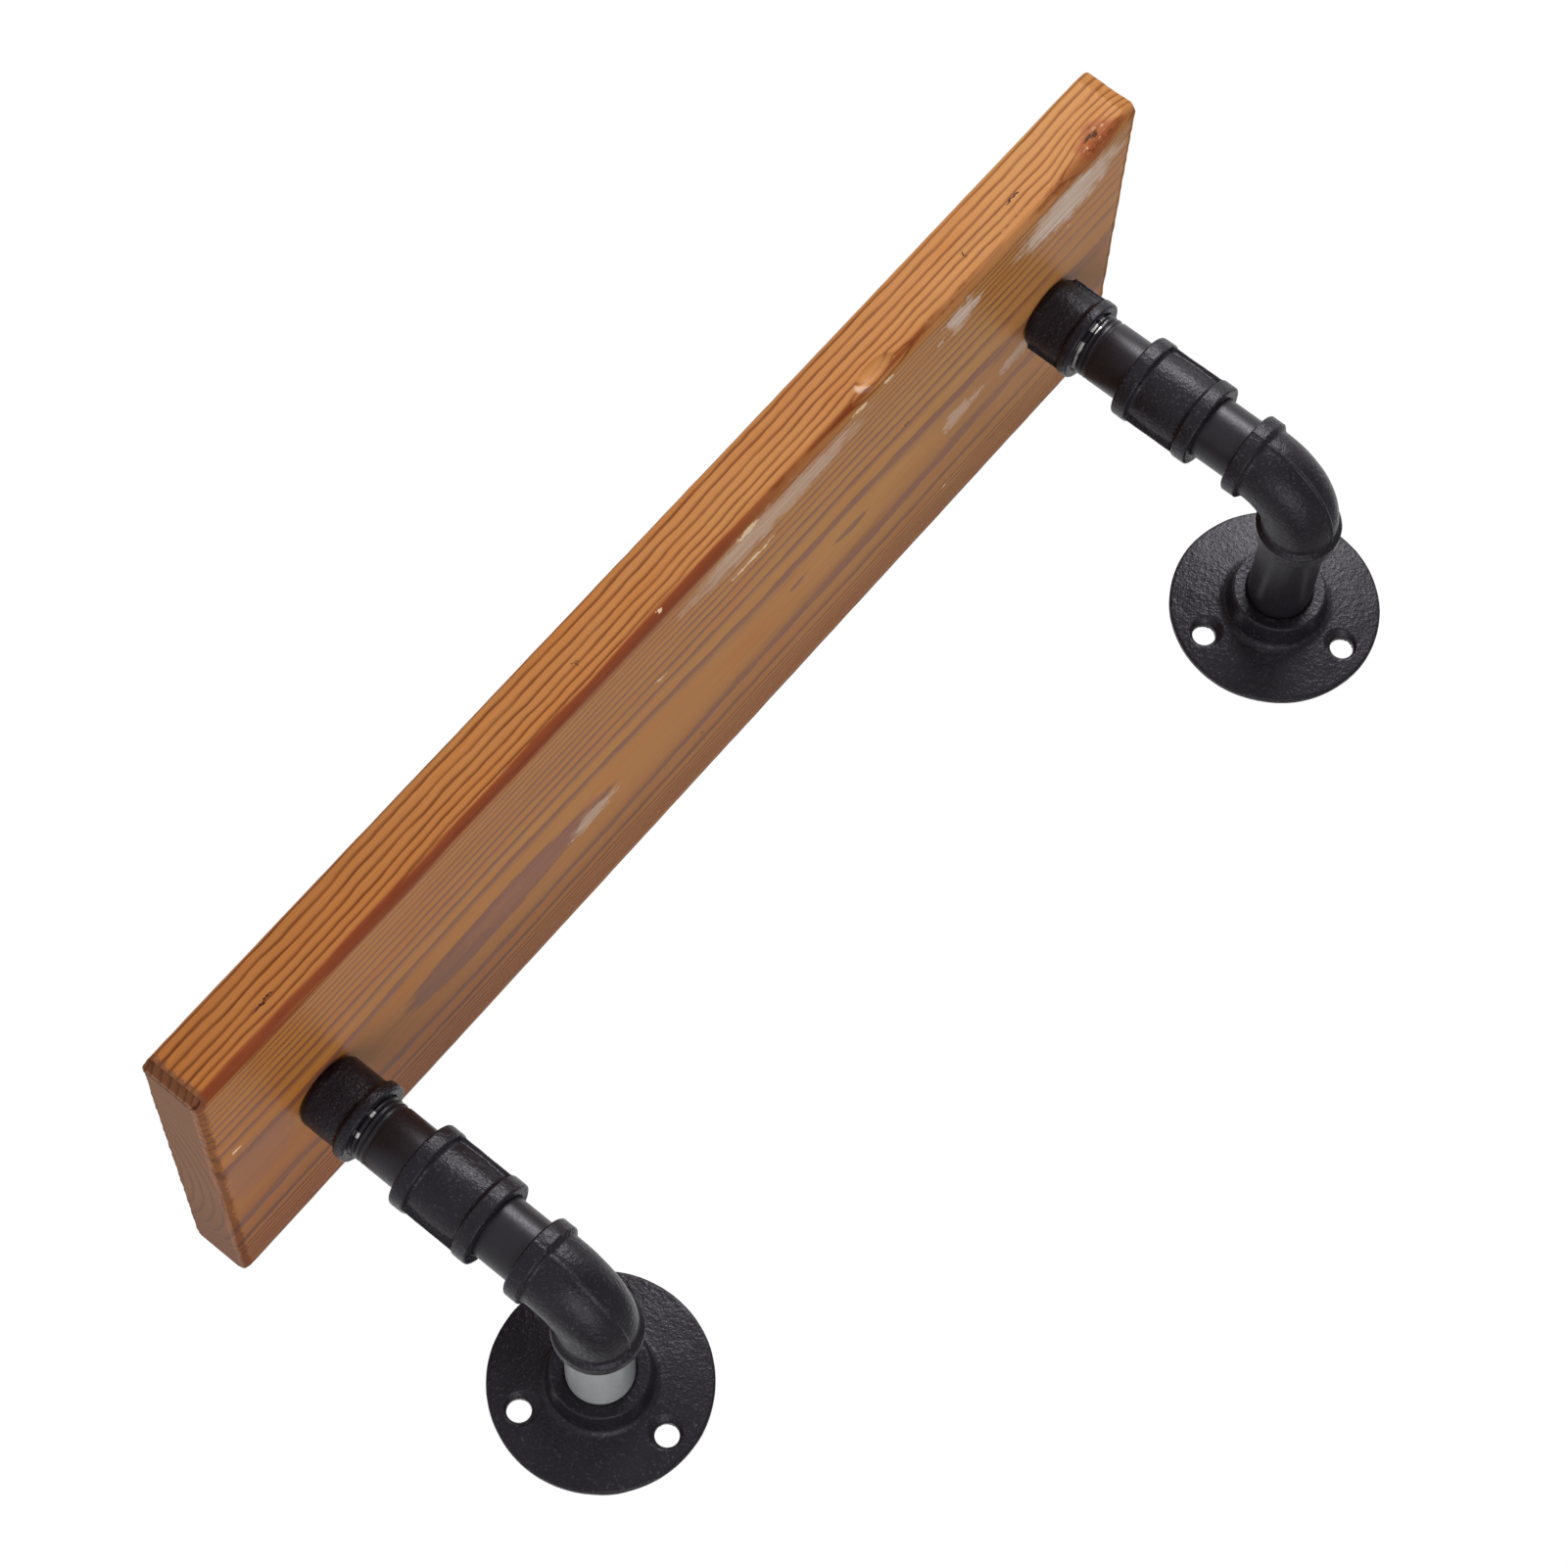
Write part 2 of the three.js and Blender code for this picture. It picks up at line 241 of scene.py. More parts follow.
def addNode(tree, kind, settings={}, links={}, result=None):
    # gives back the socket that carries the node's result
    node = tree.nodes.new("ShaderNode" + kind)
    fillIn(node, settings, links)
    return node.outputs[result] if result else next(out for out in node.outputs if out.enabled)


def newMaterial(name):
    # gives back the material, its shader and what adds a node to it
    made = bpy.data.materials.new(name)
    made.use_nodes = True
    return made, made.node_tree.nodes["Principled BSDF"], partial(addNode, made.node_tree)


# what most of the Math nodes do
product, larger = {"operation": "MULTIPLY"}, {"operation": "MAXIMUM"}


def inMillimetres(add):
    # Object coordinates in millimetres, so that pattern sizes below are real ones
    place = add("TexCoord", result="Object")
    return add("VectorMath", {"operation": "SCALE", "Scale": 1000.0}, {0: place})


def castIron():
    # black malleable iron, sand cast and then lacquered: the sand leaves an orange-peel skin that breaks the satin
    # lacquer's highlight into specks, and the pale specks on the high grains are painted highlights
    made, shader, add = newMaterial("blackMalleableIron")
    look = {"grain": 0.9, "peel": 1.5, "patch": 9.0, "low": "#110f14", "high": "#1d1a21", "rubbed": "#4f4b52",
            "tint": "#f9f6ff"}
    place = inMillimetres(add)
    grain = add("TexNoise", {"Scale": 1 / look["grain"], "Detail": 2.0, "Roughness": 0.6}, {"Vector": place})
    peel = add("TexNoise", {"Scale": 1 / look["peel"], "Detail": 2.0}, {"Vector": place})
    patch = add("TexNoise", {"Scale": 1 / look["patch"], "Detail": 2.0}, {"Vector": place})
    tone = add("Mix", {"data_type": "RGBA", 6: linear(look["low"]), 7: linear(look["high"])}, {"Factor": patch})
    # painted highlight: pale specks on the high grains
    highGrain = add("MapRange", {"From": (0.58, 0.76), "To": (0, 0.65)}, {"Value": grain})
    withPaintedSpecks = add("Mix", {"data_type": "RGBA", 7: linear(look["rubbed"])}, {"Factor": highGrain, 6: tone})
    dull = add("MapRange", {"From": (0.3, 0.7), "To": (0.42, 0.26)}, {"Value": grain})
    pits = add("Bump", {"Strength": 0.6, "Distance": 0.00030}, {"Height": grain})
    wave = add("Bump", {"Strength": 0.35, "Distance": 0.0005}, {"Height": peel, "Normal": pits})
    fillIn(shader, {"IOR": 1.5, "Specular IOR Level": 0.22, "Specular Tint": linear(look["tint"])},
           {"Base Color": withPaintedSpecks, "Roughness": dull, "Normal": wave})
    return made


def pipeLacquer():
    # welded steel pipe under black lacquer: smooth and satin, with long soft highlights and faint specks
    made, shader, add = newMaterial("blackLacqueredPipe")
    look = {"speck": 0.8, "patch": 12.0, "low": "#131115", "high": "#201d23", "tint": "#f9f6ff"}
    place = inMillimetres(add)
    speck = add("TexNoise", {"Scale": 1 / look["speck"], "Detail": 2.0}, {"Vector": place})
    patch = add("TexNoise", {"Scale": 1 / look["patch"], "Detail": 3.0}, {"Vector": place})
    tone = add("Mix", {"data_type": "RGBA", 6: linear(look["low"]), 7: linear(look["high"])}, {"Factor": patch})
    dull = add("MapRange", {"From": (0.3, 0.7), "To": (0.30, 0.42)}, {"Value": speck})
    specks = add("Bump", {"Strength": 0.25, "Distance": 0.00010}, {"Height": speck})
    fillIn(shader, {"IOR": 1.5, "Specular IOR Level": 0.30, "Specular Tint": linear(look["tint"])},
           {"Base Color": tone, "Roughness": dull, "Normal": specks})
    return made, shader, add, tone, place


def rubbedLacquer(name, bareHex, metal, start, full):
    # the same lacquered pipe where it has rubbed through, as the attribute "rubbed" says: bright steel on the thread's
    # crest, which glints, and dull grey steel on the left wall pipe, whose fading round the pipe is painted shade
    made, shader, add, tone, place = pipeLacquer()
    made.name = name
    rubbed = add("Attribute", {"attribute_name": "rubbed"}, result="Fac")
    blotch = add("TexNoise", {"Scale": 1 / 0.9, "Detail": 2.0}, {"Vector": place})
    ragged = add("Math", {"operation": "MULTIPLY_ADD", 1: 0.5}, {0: blotch, 2: rubbed})
    bare = add("MapRange", {"From": (start, full)}, {"Value": ragged})
    colour = add("Mix", {"data_type": "RGBA", 7: linear(bareHex)}, {"Factor": bare, 6: tone})
    share = add("Math", {"operation": "MULTIPLY", 1: metal}, {0: bare})
    fillIn(shader, {}, {"Base Color": colour, "Metallic": share})
    return made


def screwSteel():
    # zinc-plated wire, rolled: pale, slightly dull, with fine drawing lines along the shank
    made, shader, add = newMaterial("zincPlatedWire")
    stretch = add("Mapping", {"Scale": (3.0, 3.0, 0.2)}, {"Vector": inMillimetres(add)})
    lines = add("TexNoise", {"Scale": 1.0, "Detail": 2.0}, {"Vector": stretch})
    tone = add("Mix", {"data_type": "RGBA", 6: linear("#a8a69e"), 7: linear("#c6c4ba")}, {"Factor": lines})
    fillIn(shader, {"Metallic": 1.0, "Roughness": 0.35}, {"Base Color": tone})
    return made


# marks on the board, in millimetres in the row frame: middle and half sizes of each
boardMarks = {
    # torn or chipped spots where bare wood shows
    "bare": [((20, -147.5, 104.5), (5.5, 2.4, 2.4)), ((73, -149, 104.5), (5.0, 1.3, 1.8)),
             ((86.5, -148.5, 104.5), (2.8, 1.5, 1.8)), ((24, -126, 104), (13, 1.3, 2.4)),
             ((-17.5, -111.5, 104), (2.6, 1.2, 2)), ((-206.7, -101, 104), (1.6, 1.1, 2)),
             ((178, -122, 104), (2.0, 0.8, 2)), ((124.5, -27.7, 104), (1.2, 0.9, 2)),
             ((-17, -152.8, 105.2), (1.4, 1.4, 1.4))],
    # dark resin dashes
    "resin": [((98, -105, 104), (1.6, 0.5, 2)), ((0.75, -40, 104), (1.8, 0.45, 2)),
              ((114.5, -12.7, 104), (1.6, 0.45, 2)), ((132.7, -154, 112), (0.5, 2, 1.6)),
              ((-180, -154, 111.5), (6, 2, 0.35)), ((158, -154, 113.4), (4, 2, 0.4)),
              ((-47, -154, 112.5), (0.3, 2, 2.2))],
    # painted reflection: pale streaks where the satin finish mirrors the bright surroundings
    "paintedReflection": [((177, -138, 104), (31, 12, 6)), ((122, -139, 104), (10, 9, 6))],
    # painted sheen: a softer pale haze, also a painted reflection on the finish
    "paintedSheenHaze": [((33, -140.5, 104), (50, 9.5, 6)), ((-52, -67, 104), (12, 6, 6)),
             ((128, -72, 104), (10, 7, 6)), ((157, -69, 104), (10, 6, 6))],
    # painted sheen: rosy grey streaks on the underside that stand in for the finish's reflection
    "paintedRosySheen": [((-200, -80, 104), (22, 22, 6)), ((-80, -72, 104), (45, 12, 6))],
    # a paler streak on the lower front edge near the right end, and the underside painted paler towards the right end
    # as painted light
    "rubbed": [((138, -152.6, 105.2), (46, 5, 3.2)), ((204, -84, 104), (78, 78, 6))],
}
# the veils are painted reflections and sheen, and the rubbed mark is partly painted light
veils = ("paintedReflection", "paintedSheenHaze", "paintedRosySheen", "rubbed")   # the marks that lie over the wood as a thin veil

# also in millimetres
softwood = {
    "pith": (-70.0, 204.0),        # y and z of the tree's centre line
    "firstRing": 103.05,           # radius from which the rings are counted: its lowest point is under the board
    "ringsPerMm": 0.2509,          # near the first ring; they close in outwards
    "closing": 0.00553,
    "slope": 0.0055,               # and along X
    # how dark one ring is from its start to its end
    "ring": ((0.05, 0.0), (0.50, 0.0), (0.70, 0.26), (0.79, 0.85), (0.90, 1.0)), "ringStart": 0.35, "ringEnd": 0.85,
    # swellings that bend the rings: a flat lake and its neighbours on the underside, two knots in front
    "swellings": [((-88, -72, 104), (120, 50, 60), -1.9), ((-188, -72, 104), (80, 50, 60), 1.3),
                  ((72, -73.5, 104), (40, 14, 30), -2.1), ((45, -74, 104), (12, 8, 20), -1.3),
                  ((84, -155, 105), (15, 12, 8), 1.1), ((191, -155, 105), (22, 14, 13), 2.6)],
    # middle and half sizes of the single features on the front face
    "heartStreak": ((0, -155, 103.0), (2000, 8.2, 4.4)),
    "scoopAt": ((83.5, -154, 107.2), (9.4, 7, 3.9)),
    # paintedGleamAt and paintedGleamInside make a painted highlight at the scoop's tip
    "paintedGleamAt": ((78.8, -154, 107.0), (4.8, 3.2, 2.9)), "paintedGleamInside": ((81.8, -154, 108.1), (6.2, 8, 3.3)),
    "redLineAt": ((84, -154.5, 105.2), (50, 4, 1.2)),
    "almond": ((184, -154.5, 104.6), (31, 8, 3.6)), "knotAt": ((190.5, -154, 106.8), (10, 7, 5.8)),
    "early": "#b06c36", "earlyPale": "#c48950", "orange": "#bd6a24", "late": "#66300b", "lateSoft": "#8a5021",
    # deep darkens the wood towards the wall as painted shade
    "deep": "#d6bc9c", "yellow": "#f9ffec",
    # laid over the rings in this order
    "redBand": "#7f3b20", "rubbed": "#bd8252", "scoop": "#c68e5a", "paintedGleam": "#dabca6", "redLine": "#742d12",
    # paintedRosySheen, paintedReflection and paintedSheenHaze are painted sheen and reflections on the finish
    "paintedRosySheen": "#93604e", "paintedReflection": "#e2d3c8", "paintedSheenHaze": "#cdb3a0", "rim": "#6f4a3a", "endTone": "#9d7f6f",
    "tornRed": "#98502f", "tornDark": "#53301a", "tornPale": "#dcb084", "bare": "#e6c7a3", "resin": "#3c1a0d",
}


def spotAt(add, place, spot):
    # one in the middle of a ball of the given half sizes, and zero at its edge
    middle, half = spot
    near = add("Mapping", {"Location": [-m / h for m, h in zip(middle, half)], "Scale": [1 / h for h in half]},
               {"Vector": place})
    return add("TexGradient", {"gradient_type": "SPHERICAL"}, {"Vector": near}, "Fac")


def stretchedNoise(add, place, size, settings):
    # noise whose features are as large as the three sizes, in millimetres
    at = add("Mapping", {"Scale": [1 / length for length in size]}, {"Vector": place})
    return add("TexNoise", {"Scale": 1.0, **settings}, {"Vector": at})


def ringField(add, place, x, y):
    # the distance from the pith, bent by slow waves that grow outwards and by a fine wobble
    w = softwood
    fromPith = add("VectorMath", {"operation": "SUBTRACT", 1: (0, *w["pith"])}, {0: place})
    across = add("VectorMath", {"operation": "MULTIPLY", 1: (0, 1, 1)}, {0: fromPith})
    radius = add("VectorMath", {"operation": "LENGTH"}, {0: across})
    field = add("Math", {"operation": "MULTIPLY_ADD", 1: w["slope"]}, {0: x, 2: radius})
    reach = add("MapRange", {"From": (100, 125), "To": (0.8, 2.4)}, {"Value": radius})
    waves = stretchedNoise(add, place, (85, 60, 60), {"Detail": 2.0, "Roughness": 0.4})
    wave = add("Math", {"operation": "SUBTRACT", 1: 0.5}, {0: waves})
    field = add("Math", {"operation": "MULTIPLY_ADD"}, {0: wave, 1: reach, 2: field})
    wobble = stretchedNoise(add, place, (14, 5, 5), {"Detail": 2.0})
    field = add("Math", {"operation": "MULTIPLY_ADD", 1: 1.1}, {0: wobble, 2: field})
    for middle, half, lift in w["swellings"]:
        bulge = spotAt(add, place, (middle, half))
        field = add("Math", {"operation": "MULTIPLY_ADD", 1: lift}, {0: bulge, 2: field})
    # towards the wall the rings lie closer
    behind = add("MapRange", {"From": (-30, -12), "To": (0, 8.6)}, {"Value": y})
    return add("Math", {"operation": "ADD"}, {0: field, 1: behind})


def lateWood(add, field):
    # how far each point lies in the dark part of its ring: the rings close in with the distance
    w = softwood
    beyond = add("Math", {"operation": "SUBTRACT", 1: w["firstRing"]}, {0: field})
    outer = add("Math", {"operation": "MAXIMUM", 1: 0.0}, {0: beyond})
    squared = add("Math", product, {0: outer, 1: outer})
    plain = add("Math", {"operation": "MULTIPLY", 1: w["ringsPerMm"]}, {0: beyond})
    count = add("Math", {"operation": "MULTIPLY_ADD", 1: w["closing"]}, {0: squared, 2: plain})
    within = add("Math", {"operation": "FRACT"}, {0: count})
    late = add("ValToRGB", {}, {"Fac": within})
    stops = late.node.color_ramp.elements
    stops[0].color, stops[1].color = [*[w["ringStart"]] * 3, 1], [*[w["ringEnd"]] * 3, 1]
    for position, value in w["ring"]:
        stops.new(position).color = (value, value, value, 1)
    return late


def stainedSoftwood():
    # plain-sawn softwood, planed, stained and given one satin coat by brush: soft early wood takes up
    # more stain and stays dull, the hard late lines are darker and shine, and end grain drinks it dark
    made, shader, add = newMaterial("stainedSoftwood")
    w = softwood
    place = inMillimetres(add)
    x, y, z = add("SeparateXYZ", {}, {"Vector": place}).node.outputs
    late = lateWood(add, ringField(add, place, x, y))

    # the late lines come and go along the board
    gaps = stretchedNoise(add, place, (26, 2.4, 2.4), {"Detail": 2.0})
    dashes = add("MapRange", {"From": (0.34, 0.58), "To": (0.7, 1.0)}, {"Value": gaps})
    line = add("Math", product, {0: late, 1: dashes})

    # fibres are fine streaks along the board and specks on the end grain; clouds are where the stain took, and they are
    # painted paler towards the right end as painted sheen
    fibre = stretchedNoise(add, place, (30, 0.5, 0.5), {"Detail": 3.0, "Roughness": 0.6})
    cloud = stretchedNoise(add, place, (90, 16, 16), {"Detail": 3.0})
    blush = stretchedNoise(add, place, (55, 7, 7), {"Detail": 3.0})
    paintedSheenDrift = add("MapRange", {"From": (-200, 190), "To": (-0.38, 0.38)}, {"Value": x})
    cloud = add("Math", {"operation": "ADD", "use_clamp": True}, {0: cloud, 1: paintedSheenDrift})
    early = add("Mix", {"data_type": "RGBA", 6: linear(w["early"]), 7: linear(w["earlyPale"])}, {"Factor": cloud})
    orangeMask = add("MapRange", {"From": (0.50, 0.70), "To": (0, 0.36)}, {"Value": blush})
    warm = add("Mix", {"data_type": "RGBA", 7: linear(w["orange"])}, {"Factor": orangeMask, 6: early})
    lateTone = add("Mix", {"data_type": "RGBA", 6: linear(w["late"]), 7: linear(w["lateSoft"])}, {"Factor": cloud})
    ringed = add("Mix", {"data_type": "RGBA"}, {"Factor": line, 6: warm, 7: lateTone})
    streak = add("MapRange", {"From": (0.3, 0.7), "To": (0.90, 1.08)}, {"Value": fibre})
    colour = add("VectorMath", {"operation": "SCALE"}, {0: ringed, "Scale": streak})
    # towards the wall the colour is painted darker and warmer as painted shade, and the underside is a little yellower
    paintedWallShade = add("MapRange", {"From": (-75, -8)}, {"Value": y})
    below = add("MapRange", {"From": (104.12, 104.5), "To": (1.0, 0.0)}, {"Value": z})
    for tint, where in (("deep", paintedWallShade), ("yellow", below)):
        colour = add("Mix", {"data_type": "RGBA", "blend_type": "MULTIPLY", 7: linear(w[tint])},
                     {"Factor": where, 6: colour})

    # the red-brown heart streak along the lower front edge, strong on the left half
    masks = {}
    tatters = stretchedNoise(add, place, (38, 1.8, 1.8), {"Detail": 3.0})
    ribbon = spotAt(add, place, w["heartStreak"])
    torn = add("Math", {"operation": "MULTIPLY_ADD", 1: 0.8}, {0: tatters, 2: ribbon})
    inside = add("MapRange", {"From": (0.0, 0.12)}, {"Value": ribbon})
    solid = add("MapRange", {"From": (0.48, 0.74), "To": (0, 0.92)}, {"Value": torn})
    fades = add("MapRange", {"From": (10, 75), "To": (1.0, 0.12)}, {"Value": x})
    ribbon = solid
    for part in (inside, fades):
        ribbon = add("Math", product, {0: ribbon, 1: part})

    # the almond of dark wood round the torn knot
    almond = spotAt(add, place, w["almond"])
    torn = add("Math", {"operation": "MULTIPLY_ADD", 1: 0.5}, {0: tatters, 2: almond})
    solid = add("MapRange", {"From": (0.36, 0.60), "To": (0, 0.55)}, {"Value": torn})
    inside = add("MapRange", {"From": (0.0, 0.15)}, {"Value": almond})
    almond = add("Math", product, {0: solid, 1: inside})
    masks["redBand"] = add("Math", larger, {0: ribbon, 1: almond})

    # the polished scoop with a painted highlight at its tip, and the red line beside it
    scoop = spotAt(add, place, w["scoopAt"])
    masks["scoop"] = add("MapRange", {"From": (0.04, 0.4), "To": (0, 0.55)}, {"Value": scoop})
    crescent = add("Math", {"operation": "MULTIPLY_ADD", 1: -1.3},
                   {0: spotAt(add, place, w["paintedGleamInside"]), 2: spotAt(add, place, w["paintedGleamAt"])})
    masks["paintedGleam"] = add("MapRange", {"From": (0.05, 0.28), "To": (0, 0.7)}, {"Value": crescent})
    redLine = add("Math", {"operation": "MULTIPLY_ADD", 1: 0.9}, {0: tatters, 2: spotAt(add, place, w["redLineAt"])})
    masks["redLine"] = add("MapRange", {"From": (0.62, 0.92), "To": (0, 0.75)}, {"Value": redLine})

    # marks: soft balls cut by noise, looked up at places that noise has shifted, so that no outline is round,
    # and the veils lie thinner over the fibres' hollows
    ragged = add("TexNoise", {"Scale": 1 / 1.4, "Detail": 3.0}, {"Vector": place})
    drifting = add("TexNoise", {"Scale": 1 / 5.0, "Detail": 4.0, "Roughness": 0.65}, {"Vector": place}, "Color")
    shift = add("VectorMath", {"operation": "SUBTRACT", 1: (0.5, 0.5, 0.5)}, {0: drifting})
    streaks = stretchedNoise(add, place, (13, 1.5, 1.5), {"Detail": 4.0, "Roughness": 0.6})
    thin = add("MapRange", {"From": (0.35, 0.65), "To": (0.30, 0.88)}, {"Value": fibre})
    for kind, spots in boardMarks.items():
        veil = kind in veils
        far = 30 if veil else 13
        shifted = add("VectorMath", {"operation": "MULTIPLY_ADD", 1: (far, far * 0.35, far * 0.35)},
                      {0: shift, 2: place})
        balls = [spotAt(add, shifted, spot) for spot in spots]
        total = balls[0]
        for ball in balls[1:]:
            total = add("Math", larger, {0: total, 1: ball})
        rough = add("Math", {"operation": "MULTIPLY_ADD", 1: 0.9}, {0: streaks if veil else ragged, 2: total})
        shape = add("MapRange", {"From": (0.48, 0.90) if veil else (0.62, 0.80)}, {"Value": rough})
        inside = add("MapRange", {"From": (0.02, 0.2)}, {"Value": total})
        masks[kind] = add("Math", product, {0: shape, 1: inside})
        if veil:
            masks[kind] = add("Math", product, {0: masks[kind], 1: thin})

    # the torn knot: red-brown wood with pale and dark fibres sticking out of it
    nudged = add("VectorMath", {"operation": "MULTIPLY_ADD", 1: (7, 2, 5)}, {0: shift, 2: place})
    knot = spotAt(add, nudged, w["knotAt"])
    masks["tornRed"] = add("MapRange", {"From": (0.02, 0.35), "To": (0, 0.75)}, {"Value": knot})
    slanted = add("Mapping", {"Rotation": (0, math.radians(-35), 0), "Scale": (0.2, 0.45, 0.72)}, {"Vector": place})
    splinters = add("TexNoise", {"Scale": 1.0, "Detail": 3.0, "Roughness": 0.6}, {"Vector": slanted})
    inKnot = add("MapRange", {"From": (0.32, 0.50)}, {"Value": knot})
    for kind, ends in (("tornPale", (0.58, 0.65)), ("tornDark", (0.45, 0.39))):
        some = add("MapRange", {"From": ends}, {"Value": splinters})
        masks[kind] = add("Math", product, {0: some, 1: inKnot})

    # on the underside the hard late lines are painted rosy as painted sheen, but not at the back
    away = add("MapRange", {"From": (-52, -28), "To": (0.55, 0.0)}, {"Value": y})
    paintedLateSheen = line
    for part in (below, away):
        paintedLateSheen = add("Math", product, {0: paintedLateSheen, 1: part})
    masks["paintedRosySheen"] = add("Math", larger, {0: masks["paintedRosySheen"], 1: paintedLateSheen})

    # end grain, and the rough rim round it that the saw left
    middleX, halfLength = 500 * (boardLow.x + boardHigh.x), 500 * (boardHigh.x - boardLow.x)
    fromMiddle = add("Math", {"operation": "SUBTRACT", 1: middleX}, {0: x})
    outwards = add("Math", {"operation": "ABSOLUTE"}, {0: fromMiddle})
    wider = add("MapRange", {"From": (-148, -152), "To": (-2.6, -0.6)}, {"Value": y})
    frayed = add("Math", {"operation": "MULTIPLY_ADD", 1: 5.2}, {0: ragged, 2: wider})
    reached = add("Math", {"operation": "ADD"}, {0: outwards, 1: frayed})
    nearEdge = add("MapRange", {"From": (halfLength - 3.4, halfLength - 2.2)}, {"Value": reached})
    leftOnly = add("MapRange", {"From": (-50, 50), "To": (0.7, 0.2)}, {"Value": x})
    rim = add("Math", product, {0: nearEdge, 1: leftOnly})
    onEnd = add("MapRange", {"From": (halfLength - 0.8, halfLength - 0.3)}, {"Value": outwards})
    masks["rim"] = add("Math", {"operation": "SUBTRACT", "use_clamp": True}, {0: rim, 1: onEnd})
    masks["endTone"] = add("Math", {"operation": "MULTIPLY", 1: 0.72}, {0: onEnd})
    for kind in w:
        if kind in masks:
            colour = add("Mix", {"data_type": "RGBA", 7: linear(w[kind])}, {"Factor": masks[kind], 6: colour})

    # late wood is harder and shines more, and so does the polished scoop, while the sawn rim is matt
    dull = add("MapRange", {"To": (0.50, 0.45)}, {"Value": late})
    polished = add("Math", {"operation": "MULTIPLY_ADD", 1: -0.2}, {0: masks["scoop"], 2: dull})
    sawn = add("Mix", {"data_type": "FLOAT", 3: 0.95}, {"Factor": nearEdge, 2: polished})
    relief = add("Bump", {"Strength": 0.35, "Distance": 0.00025}, {"Height": late})
    grain = add("Bump", {"Strength": 0.3, "Distance": 0.0001}, {"Height": fibre, "Normal": relief})
    fillIn(shader, {"IOR": 1.5, "Specular IOR Level": 0.12}, {"Base Color": colour, "Roughness": sawn, "Normal": grain})
    return made


ironSkin = castIron()
pipeSkin = pipeLacquer()[0]
threadSkin = rubbedLacquer("blackPipeWithRubbedThread", "#c9c8c6", 1.0, 0.62, 0.95)
greySkin = rubbedLacquer("blackPipeRubbedGrey", "#b6b9ba", 0.3, 0.15, 1.3)
wireSkin = screwSteel()
woodSkin = stainedSoftwood()
print("materials made")


def finishPiece(piece, node, material):
    piece.data.materials.clear()
    piece.data.materials.append(material)
    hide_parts(node)
    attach(piece, "root")


def smoothBy(piece, degrees):
    pickUp(piece)
    bpy.ops.object.shade_smooth_by_angle(angle=math.radians(degrees))


# casting skin: a casting is remade in small cells, which joins its parts and softens its edges, and is
# then pitted, inwards only

skin = {
    "cell": 0.00036,
    "peelSize": 0.0012, "peelDepth": 0.00006,
    "waveSize": 0.011, "waveDepth": 0.00030,
}
peelPattern = bpy.data.textures.new("sandPeel", "CLOUDS")
peelPattern.noise_scale = skin["peelSize"]
wavePattern = bpy.data.textures.new("castWave", "CLOUDS")
wavePattern.noise_scale = skin["waveSize"]


def soften(piece):
    applyModifier(piece, "REMESH", {"mode": "VOXEL", "voxel_size": skin["cell"], "use_smooth_shade": True})


def finishCastings(master, name, node, placeOf, turns={}):
    # one copy of the casting for each side, placed by its own CAD node's box
    for side in sides:
        low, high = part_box(f"{node}_{side}")
        copy = copyPiece(master, f"{name}_{side}", placeOf(low, high), turns.get(side, (0, 0, 0)))
        for pattern, depth in ((wavePattern, "waveDepth"), (peelPattern, "peelDepth")):
            applyModifier(copy, "DISPLACE", {"texture": pattern, "strength": skin[depth], "mid_level": 1.0})
        pickUp(copy)
        bpy.ops.object.shade_smooth()
        finishPiece(copy, f"{node}_{side}", ironSkin)
    deletePiece(master)


def onItsFoot(low, high):
    # for a piece that was made standing on the origin
    return (low.x + high.x) / 2, (low.y + high.y) / 2, low.z


def addRibs(piece, name, sizes, root, low, high):
    # a rounded rib on either side, sunk into the wall it stands on
    depth = sizes["rib"] - sizes[root] + past
    joinTo(piece, [makeBlock(name, (way * (sizes["rib"] - depth / 2), 0, (low + high) / 2),
                             (depth, sizes["ribWidth"], high - low), sizes["ribSoft"]) for way in (-1, 1)])


# wall flanges

flangeLow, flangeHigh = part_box("wall_flange_left")
flange = {
    "radius": (flangeHigh.x - flangeLow.x) / 2, "height": flangeHigh.y - flangeLow.y,
    "rimHeight": 0.003, "rimSoft": 0.0007, "hub": 0.0155, "hubSoft": 0.0005,
    "mouth": 0.0112, "mouthDepth": 0.0006, "bore": 0.0104,
    "holeCircle": 0.0262, "holeRadius": 0.00365, "sinkRadius": 0.0054, "sinkDepth": 0.0017, "holeFace": 0.00415,
    # the plate swings up into the hub through these radii and heights
    "dome": [(0.0215, 0.00476), (0.0190, 0.0051), (0.0182, 0.0053), (0.0174, 0.0058),
             (0.0168, 0.0066), (0.0165, 0.0080), (0.0161, 0.0105), (0.0158, 0.0125)],
    "turns": {"right": (0, -4, 0)}, "sides": 120,
}


